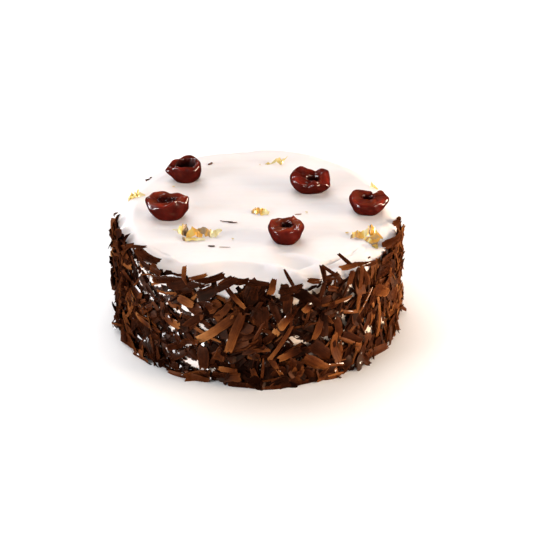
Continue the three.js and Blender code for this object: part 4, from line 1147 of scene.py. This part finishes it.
def cherry_piece(name, cherry, mat, seed):
    """The cup with its colours: ochre on the cut face, redder along the thin rim as painted light shining
    through, near black inside and darker low on the wall as painted shade.
    """
    rows, along, turn = cherry_rows(cherry, np.random.default_rng(seed))
    peak = (len(CHERRY_WALL) - 1) / (len(CHERRY_WALL) + HOLLOW_POINTS - 1)
    face = smooth((along - peak + 0.05) / 0.05) * smooth((peak + 0.15 - along) / 0.06)
    uneven = 0.55 + 0.45 * np.sin(2 * turn + seed) * np.sin(5 * turn + 2 * seed)
    # Painted light: the flesh is redder in a band along the rim, as if lit through.
    lip = 0.35 * np.exp(-(((along - peak) / 0.07) ** 2)) * (0.6 + 0.4 * np.sin(3 * turn + seed))
    thin = 0.30 + cherry["thin"] + lip
    # Painted shade: darker deep in the hollow and low on the wall near the cream.
    thin = thin - 0.24 * smooth((along - peak - 0.14) / 0.1) - 0.1 * smooth((0.25 - along) / 0.2)
    attributes = dict(rim=cherry["bare"] * face * uneven, thin=np.broadcast_to(thin, rows.shape[:2]))
    obj = turned_mesh(name + "_wet", rows[0].mean(0), rows, rows[-1].mean(0), attributes)
    place(obj, mat, "cherry", name)


# ------------------------------------------------------------------ gold leaf
# A leaf is ribbons. A ribbon's nodes are: x and y from its start, height of the section's middle over
# the cream, lean of the section (0 lies flat, 90 stands), width and tone (0 brown, 1 pale yellow); the
# tones are painted reflection, dark on facets turned from the light and pale on glinting ones.
LEAVES = {
    "gold_leaf_front": [
        dict(at=(-32, -27.4), spin=-4, nodes=[
            (-12.8, 0.8, 3.4, 50, 0.3, 0.95), (-10.4, 0.8, 3.2, 60, 0.7, 0.95),
            (-9.6, 0.6, 3.0, 80, 3.0, 0.86), (-7.2, 0.0, 3.4, 86, 5.8, 0.62), (-7.0, 0.0, 3.4, 78, 6.2, 0.0),
            (-4.9, 0.6, 3.2, 70, 5.2, 0.22), (-4.4, 0.4, 2.6, 50, 3.0, 0.3)]),
        dict(at=(-32, -28.4), spin=2, nodes=[
            (-5.4, 0.0, 1.4, 30, 3.4, 0.5), (-4.2, 0.4, 2.0, 40, 5.0, 0.52), (-2.2, 0.8, 2.8, 50, 5.0, 0.58),
            (-0.6, 0.9, 3.0, 30, 4.0, 0.5), (0.8, 0.4, 2.0, 60, 3.0, 0.46), (3.0, -0.4, 1.0, 30, 2.0, 0.55)]),
        dict(at=(-31.5, -26.8), spin=-2, nodes=[
            (-1.4, 0.6, 2.6, 20, 1.6, 0.32), (0.4, 0.4, 3.0, 34, 3.6, 0.36),
            (3.4, 0.2, 2.8, 40, 4.2, 0.32),
            (6.4, -0.4, 2.2, 44, 4.0, 0.36), (6.8, -0.6, 1.9, 50, 4.2, 1.0), (7.8, -0.8, 1.4, 44, 3.6, 0.96),
            (9.4, 0.0, 1.9, 40, 3.4, 0.9), (11.6, 0.8, 2.8, 44, 2.4, 0.95), (12.8, 1.2, 3.2, 40, 0.6, 0.7)]),
        dict(at=(-33, -31.4), spin=2, nodes=[
            (-6.4, 0.4, 0.8, 30, 1.6, 0.35), (-5.2, 0.2, 1.0, 40, 2.4, 0.15), (-4.6, 0.0, 0.8, 12, 2.4, 0.95),
            (-1.0, 0.0, 0.9, 18, 2.2, 0.6), (2.5, 0.0, 0.7, 8, 2.4, 1.0), (5.5, 0.2, 0.5, 10, 1.4, 0.95)]),
    ],
    "gold_leaf_right": [
        dict(at=(57.4, -28.4), spin=4, nodes=[
            (-8.6, -0.6, 0.8, 24, 2.0, 0.35), (-7.6, 0.2, 1.6, 60, 3.4, 0.25),
            (-6.6, 0.5, 2.0, 40, 3.4, 0.95), (-5.6, 0.4, 2.2, 30, 3.6, 0.35),
            (-4.4, 0.2, 1.6, 24, 3.8, 0.52), (-2.0, 0.0, 1.8, 34, 4.4, 0.55),
            (-0.9, 0.2, 2.4, 60, 4.4, 0.98), (0.6, 0.6, 3.6, 76, 5.0, 1.0), (0.9, 0.8, 4.0, 80, 5.0, 0.5),
            (1.8, 0.8, 4.6, 84, 5.2, 0.05), (2.2, 0.6, 4.0, 76, 5.6, 0.52), (3.8, 0.4, 3.4, 66, 5.2, 0.6),
            (4.2, 0.2, 2.8, 50, 4.2, 1.0), (5.6, -0.4, 2.2, 46, 3.4, 0.6), (8.6, -1.4, 1.4, 40, 0.8, 0.55)]),
        dict(at=(60.6, -30.6), spin=-74, nodes=[
            (-2.2, 0, 1.6, 30, 2.6, 0.95), (-0.6, 0, 1.8, 24, 5.6, 0.36), (2.0, 0, 1.4, 18, 6.2, 0.42),
            (3.8, 0, 1.2, 22, 5.0, 0.38), (5.2, 0, 0.9, 16, 3.0, 0.62), (6.4, 0, 0.5, 10, 1.4, 0.7)]),
        dict(at=(57.4, -31.4), spin=-40, nodes=[
            (-1.6, 0, 1.0, 30, 1.8, 0.95), (0.2, 0, 1.2, 50, 2.6, 0.15), (1.4, 0, 0.9, 20, 2.8, 1.0),
            (3.2, 0, 0.8, 34, 2.0, 0.45), (4.4, 0, 0.4, 20, 0.8, 0.5)]),
        dict(at=(52.8, -27.2), spin=10, nodes=[
            (-2.2, 0, 1.0, 40, 1.4, 0.4), (-1.0, 0, 2.0, 64, 2.6, 0.3), (0.6, 0, 2.4, 50, 2.8, 0.95),
            (2.2, 0, 1.4, 30, 1.6, 0.4)]),
    ],
    "gold_leaf_centre": [
        dict(at=(1.5, -3), spin=-8, nodes=[
            (-4.8, 0, 0.6, 30, 1.4, 0.3), (-3.4, 0, 1.2, 50, 3.0, 0.44), (-2.6, 0, 1.9, 66, 3.2, 0.26),
            (-1.6, 0, 1.5, 30, 3.8, 0.68), (-0.2, 0, 1.8, 50, 3.4, 0.36), (1.2, 0, 1.3, 24, 4.0, 0.7),
            (2.6, 0, 1.5, 44, 3.4, 1.0), (3.8, 0, 1.0, 24, 3.0, 0.95), (4.8, 0, 0.8, 40, 1.6, 0.7)]),
    ],
    "gold_leaf_left": [
        dict(at=(-66.5, 15.5), spin=10, nodes=[
            (-4.6, 0, 0.8, 30, 2.4, 0.84), (-3.2, 0, 1.6, 60, 4.4, 0.86), (-2.4, 0, 1.8, 70, 4.6, 0.8),
            (-1.6, 0, 1.2, 40, 2.6, 0.8), (-0.6, 0, 2.0, 76, 4.4, 0.82), (0.2, 0, 1.2, 40, 2.6, 0.84),
            (1.2, 0, 2.2, 80, 4.8, 0.82), (2.0, 0, 1.2, 50, 2.6, 0.9), (3.4, 0, 0.9, 40, 1.6, 0.9),
            (5.0, 0, 0.6, 30, 0.5, 0.86)]),
    ],
    "gold_leaf_back": [
        dict(at=(11, 53.5), spin=6, nodes=[
            (-6.6, 0, 0.3, 20, 0.4, 0.85), (-5.0, 0, 0.6, 30, 1.4, 0.8), (-3.2, 0, 0.3, 20, 0.6, 0.88),
            (-1.8, 0, 1.2, 60, 1.6, 0.86), (-0.2, 0, 2.4, 70, 1.8, 0.82), (1.4, 0, 2.0, 50, 3.0, 0.8),
            (2.6, -0.8, 1.2, 34, 3.8, 0.74), (3.6, 0, 1.8, 60, 2.0, 0.84), (4.8, 0, 2.8, 78, 0.9, 0.85),
            (6.2, 0.4, 4.2, 80, 0.3, 0.85)]),
    ],
    "gold_leaf_back_right": [
        dict(at=(64, 26.5), spin=-12, nodes=[
            (-1.6, 0, 0.5, 50, 1.0, 0.9), (-0.4, 0, 2.0, 84, 4.2, 0.86), (0.5, 0, 1.2, 76, 2.2, 0.85),
            (1.8, 0, 0.6, 50, 1.4, 0.76), (3.0, 0, 0.3, 40, 0.5, 0.8)]),
    ],
}
# Specks of gold that stuck to cherries: cherry, place along its profile from base to hollow, turn.
CHERRY_SPECKS = [
    ("cherry_back_left", 0.60, 226), ("cherry_back_left", 0.63, 250), ("cherry_back_left", 0.66, 215),
    ("cherry_back_right", 0.56, 150), ("cherry_back_right", 0.52, 163), ("cherry_back_right", 0.50, 142),
    ("cherry_back_right", 0.47, 176), ("cherry_back_right", 0.58, 350), ("cherry_back_right", 0.56, 338),
    ("cherry_back_right", 0.62, 330), ("cherry_back_right", 0.50, 300), ("cherry_back_right", 0.52, 306),
]
CREAM_SPECKS = [(26.5, -2.2), (-46.5, 26.0), (1.5, 51.5), (-13.0, -30.5), (47.5, -24.0)]
SPECK_SIZE = (0.9, 1.7)
SPECK_THICKNESS = 0.1
LEAF_THICKNESS = 0.12
LEAF_SHARP_DEG = 18
CREASE_STEP = 1.5  # facets along a ribbon are about this long
FACET_STEPS, LEAF_ACROSS = 2, 5  # rows in each facet and points in a row
CREASE = (0.0, 0.3, 0.3, 18.0, 0.2, 0.16)  # how far a crease strays in each of a node's six values
SKEW = 0.35  # how far a crease runs askew, as a share of the ribbon's width


def leaf_rows(ribbon, rng):
    """A ribbon's rows: straight facets between its nodes, creased to and fro every CREASE_STEP, with
    torn edges. Returns the points and their tones."""
    given = np.array(ribbon["nodes"], float)
    counts = np.maximum(1, np.round(np.hypot(*np.diff(given[:, :2], axis=0).T) / CREASE_STEP)).astype(int)
    at = np.concatenate([i + np.arange(n) / n for i, n in enumerate(counts)] + [[len(given) - 1]])
    nodes = np.stack([np.interp(at, np.arange(len(given)), column) for column in given.T], -1)
    stray = rng.uniform(-1, 1, nodes.shape) * CREASE
    stray[:, 4] *= nodes[:, 4]
    nodes = nodes + stray * np.minimum(1, nodes[:, 4:5] / 6)
    at = np.linspace(0, len(nodes) - 1, (len(nodes) - 1) * FACET_STEPS + 1)
    x, y, h, lean, width, tone = (np.interp(at, np.arange(len(nodes)), column)[:, None] for column in nodes.T)
    v = np.linspace(-0.5, 0.5, LEAF_ACROSS)[None, :]
    torn = 1 + 0.3 * rng.uniform(-1, 1, (len(at), LEAF_ACROSS)) * (np.abs(v) > 0.4)
    cl, sl = unit(lean)
    crinkle = np.minimum(0.22, width * 0.05) * rng.uniform(-1, 1, (len(at), LEAF_ACROSS))
    skew = np.interp(at, np.arange(len(nodes)), rng.uniform(-SKEW, SKEW, len(nodes)))[:, None]
    lx = x + crinkle * 0.5 + skew * v * np.minimum(width, 4)
    ly = y + v * torn * width * cl - crinkle * sl
    lh = h + v * torn * width * sl + crinkle * cl
    cs, sn = unit(ribbon["spin"])
    px, py = ribbon["at"][0] + cs * lx - sn * ly, ribbon["at"][1] + sn * lx + cs * ly
    pz = cream_top(px, py) + np.maximum(lh, 0.2)
    return np.stack([px, py, pz], -1), np.broadcast_to(tone, px.shape)


def skin(sheets, tones, name, thick):
    """Closes sheets of rows into thin skins, each with a copy of its face `thick` behind it along the
    sheet's own normal, and joins them as one mesh."""
    points, quads, tone, base = [], [], [], 0
    for rows, values in zip(sheets, tones):
        nu, nv, _ = rows.shape
        normal = np.cross(np.gradient(rows, axis=0), np.gradient(rows, axis=1))
        normal /= np.maximum(np.linalg.norm(normal, axis=-1, keepdims=True), 1e-9)
        i, j = np.meshgrid(np.arange(nu - 1), np.arange(nv - 1), indexing="ij")
        a = (i * nv + j).ravel()
        front = np.stack([a, a + nv, a + nv + 1, a + 1], -1)
        border = np.concatenate([
            np.arange(nu - 1) * nv, (nu - 1) * nv + np.arange(nv - 1),
            (nu - 1 - np.arange(nu - 1)) * nv + nv - 1, nv - 1 - np.arange(nv - 1)])
        after = np.roll(border, -1)
        count = nu * nv
        skirt = np.stack([after, border, border + count, after + count], -1)
        points += [rows.reshape(-1, 3), (rows - thick * normal).reshape(-1, 3)]
        quads += [base + front, base + front[:, ::-1] + count, base + skirt]
        tone += [values.ravel(), values.ravel()]
        base += 2 * count
    return new_mesh(name, np.concatenate(points), np.concatenate(quads),
                    attributes=dict(tone=np.concatenate(tone)), sharp_deg=LEAF_SHARP_DEG)


def leaf_piece(name, ribbons, mat, seed):
    """One leaf from its ribbons."""
    rng = np.random.default_rng(seed)
    sheets, tones = zip(*(leaf_rows(ribbon, rng) for ribbon in ribbons))
    obj = skin(sheets, tones, name + "_foil", LEAF_THICKNESS)
    place(obj, mat, "gold", name)


def specks_piece(mat, seeds):
    """Small bent squares of gold leaf that lie on cherries and cream: at a point with two directions
    along the surface, a 3 by 3 patch lifted clear along the normal."""
    rng = np.random.default_rng(SEEDS["specks"])
    spots = []
    for name, along, turn_deg in CHERRY_SPECKS:
        rows, _, _ = cherry_rows(CHERRIES[name], np.random.default_rng(seeds[name]))
        i, j = int(along * len(rows)), int(turn_deg / 360 * rows.shape[1])
        side = rows[i, j + 1 - rows.shape[1]] - rows[i, j - 1]
        spots.append((rows[i, j], rows[i + 1, j] - rows[i - 1, j], side))
    for x, y in CREAM_SPECKS:
        z = float(cream_top(np.array([x]), np.array([y]))[0])
        spots.append((np.array([x, y, z]), np.array([0, -1.0, 0]), np.array([1.0, 0, 0])))
    u, v = np.meshgrid(np.linspace(-0.5, 0.5, 3), np.linspace(-0.5, 0.5, 3), indexing="ij")
    sheets = []
    for point, down, side in spots:
        down, side = down / np.linalg.norm(down), side / np.linalg.norm(side)
        out = np.cross(down, side)
        size = rng.uniform(*SPECK_SIZE)
        lift = 0.3 + 0.5 * np.abs(u + 0.3 * rng.uniform(-1, 1)) + 0.2 * rng.uniform(0, 1, u.shape)
        a = rng.uniform(0, math.pi)
        p, q = u * math.cos(a) - v * math.sin(a), u * math.sin(a) + v * math.cos(a)
        flat = p[..., None] * side + 0.8 * q[..., None] * down
        sheets.append(point + size * flat + lift[..., None] * out)
    tones = [np.full(u.shape, tone) for tone in rng.uniform(0.6, 1.0, len(sheets))]
    obj = skin(sheets, tones, "gold_specks", SPECK_THICKNESS)
    place(obj, mat, "gold")


# ------------------------------------------------------------------ light, floor and camera
def aim(obj, position, target):
    """Stands an object at a position with its -Z axis towards the target and its X axis level."""
    obj.location = position
    obj.rotation_euler = (Vector(target) - Vector(position)).to_track_quat("-Z", "Y").to_euler()


# Name, position and size in metres, watts, colour.
SOFTBOXES = [
    ("softbox_low_left", (-1.0, -0.40, 0.16), 0.42, 11.5, (0.95, 0.96, 1.0)),
    ("softbox_left", (-0.95, -0.62, 0.52), 0.15, 2.6, (0.92, 0.95, 1.0)),
    ("softbox_front_left", (-0.72, -0.88, 0.17), 0.15, 2.4, (1.0, 0.96, 0.95)),
    ("softbox_back", (-0.28, 1.0, 0.66), 0.10, 0.8, (0.95, 0.96, 1.0)),
    ("softbox_right", (0.98, -0.22, 0.16), 0.50, 23.5, (1.0, 0.80, 0.61)),
    ("softbox_front_right", (0.75, -0.80, 0.42), 0.14, 1.3, (1.0, 0.93, 0.86)),
]
SKY = 0.232
SKY_COLOUR = (1.0, 0.97, 0.95, 1)
SUN = dict(position=(-0.3, 0.90, 1.05), strength=2.84, spread_deg=66, colour=(1.0, 0.985, 0.985))
LIT_POINT = (0, 0, 0.035)


def lights():
    """A wide soft sun from above the back, softboxes at the sides, cool left and warm right."""
    scene = bpy.context.scene
    world = bpy.data.worlds.new("studio")
    world.use_nodes = True
    set_inputs(world.node_tree.nodes["Background"], {"Color": SKY_COLOUR, "Strength": SKY})
    world.cycles_visibility.glossy = False
    scene.world = world
    scene.view_settings.view_transform = "Standard"
    for name, position, size, power, colour in SOFTBOXES:
        light = bpy.data.lights.new(name, "AREA")
        light.size, light.energy, light.color = size, power, colour
        lamp = bpy.data.objects.new(name, light)
        scene.collection.objects.link(lamp)
        aim(lamp, position, LIT_POINT)
    sun = bpy.data.lights.new("sun", "SUN")
    sun.energy, sun.angle, sun.color = SUN["strength"], math.radians(SUN["spread_deg"]), SUN["colour"]
    lamp = bpy.data.objects.new("sun", sun)
    lamp.visible_glossy = False
    scene.collection.objects.link(lamp)
    aim(lamp, SUN["position"], LIT_POINT)


FLOOR_REACH = 3.0  # metres each way
FLOOR_COLOUR = (0.97, 0.965, 0.96, 1)


def pale_floor():
    """A plain pale floor under the cake."""
    points = np.array([[-1, -1, 0], [1, -1, 0], [1, 1, 0], [-1, 1, 0]], float) * FLOOR_REACH / MM
    floor = new_mesh("floor", points, np.array([[0, 1, 2, 3]]))
    mat, _, _, shader = material("pale_floor")
    set_inputs(shader, {"Base Color": FLOOR_COLOUR, "Roughness": 0.8})
    floor.data.materials.append(mat)
    floor.visible_glossy = False


CAMERA_DISTANCE = 0.9
CAMERA_RISE_DEG = 29.7
CAMERA_TARGET = (0, 0, 0.032)
FOCAL_MM = 110.6
SENSOR_MM = 36.0
FRAME_SHIFT = 0.0171  # the frame's shift to the right and down, as a share of its width


def camera():
    """The camera in front of the cake, looking down at CAMERA_RISE_DEG."""
    lens = bpy.data.cameras.new("camera")
    lens.lens, lens.sensor_width = FOCAL_MM, SENSOR_MM
    lens.shift_x, lens.shift_y = FRAME_SHIFT, -FRAME_SHIFT
    obj = bpy.data.objects.new("camera", lens)
    bpy.context.scene.collection.objects.link(obj)
    cosine, sine = unit(CAMERA_RISE_DEG)
    aim(obj, (0, -CAMERA_DISTANCE * cosine, CAMERA_TARGET[2] + CAMERA_DISTANCE * sine), CAMERA_TARGET)
    bpy.context.scene.camera = obj


def main():
    camera()
    lights()
    pale_floor()
    cream_piece(cream_material())
    mottle = mottle_group()
    chocolate, wet, foil = chocolate_material(mottle), cherry_material(mottle), gold_material()
    chocolate_pieces(chocolate)
    scraps_piece(chocolate)
    seeds = {name: SEEDS["cherries"] + i for i, name in enumerate(CHERRIES)}
    for name, cherry in CHERRIES.items():
        cherry_piece(name, cherry, wet, seeds[name])
    for i, (name, ribbons) in enumerate(LEAVES.items()):
        leaf_piece(name, ribbons, foil, SEEDS["leaves"] + i)
    specks_piece(foil, seeds)


main()
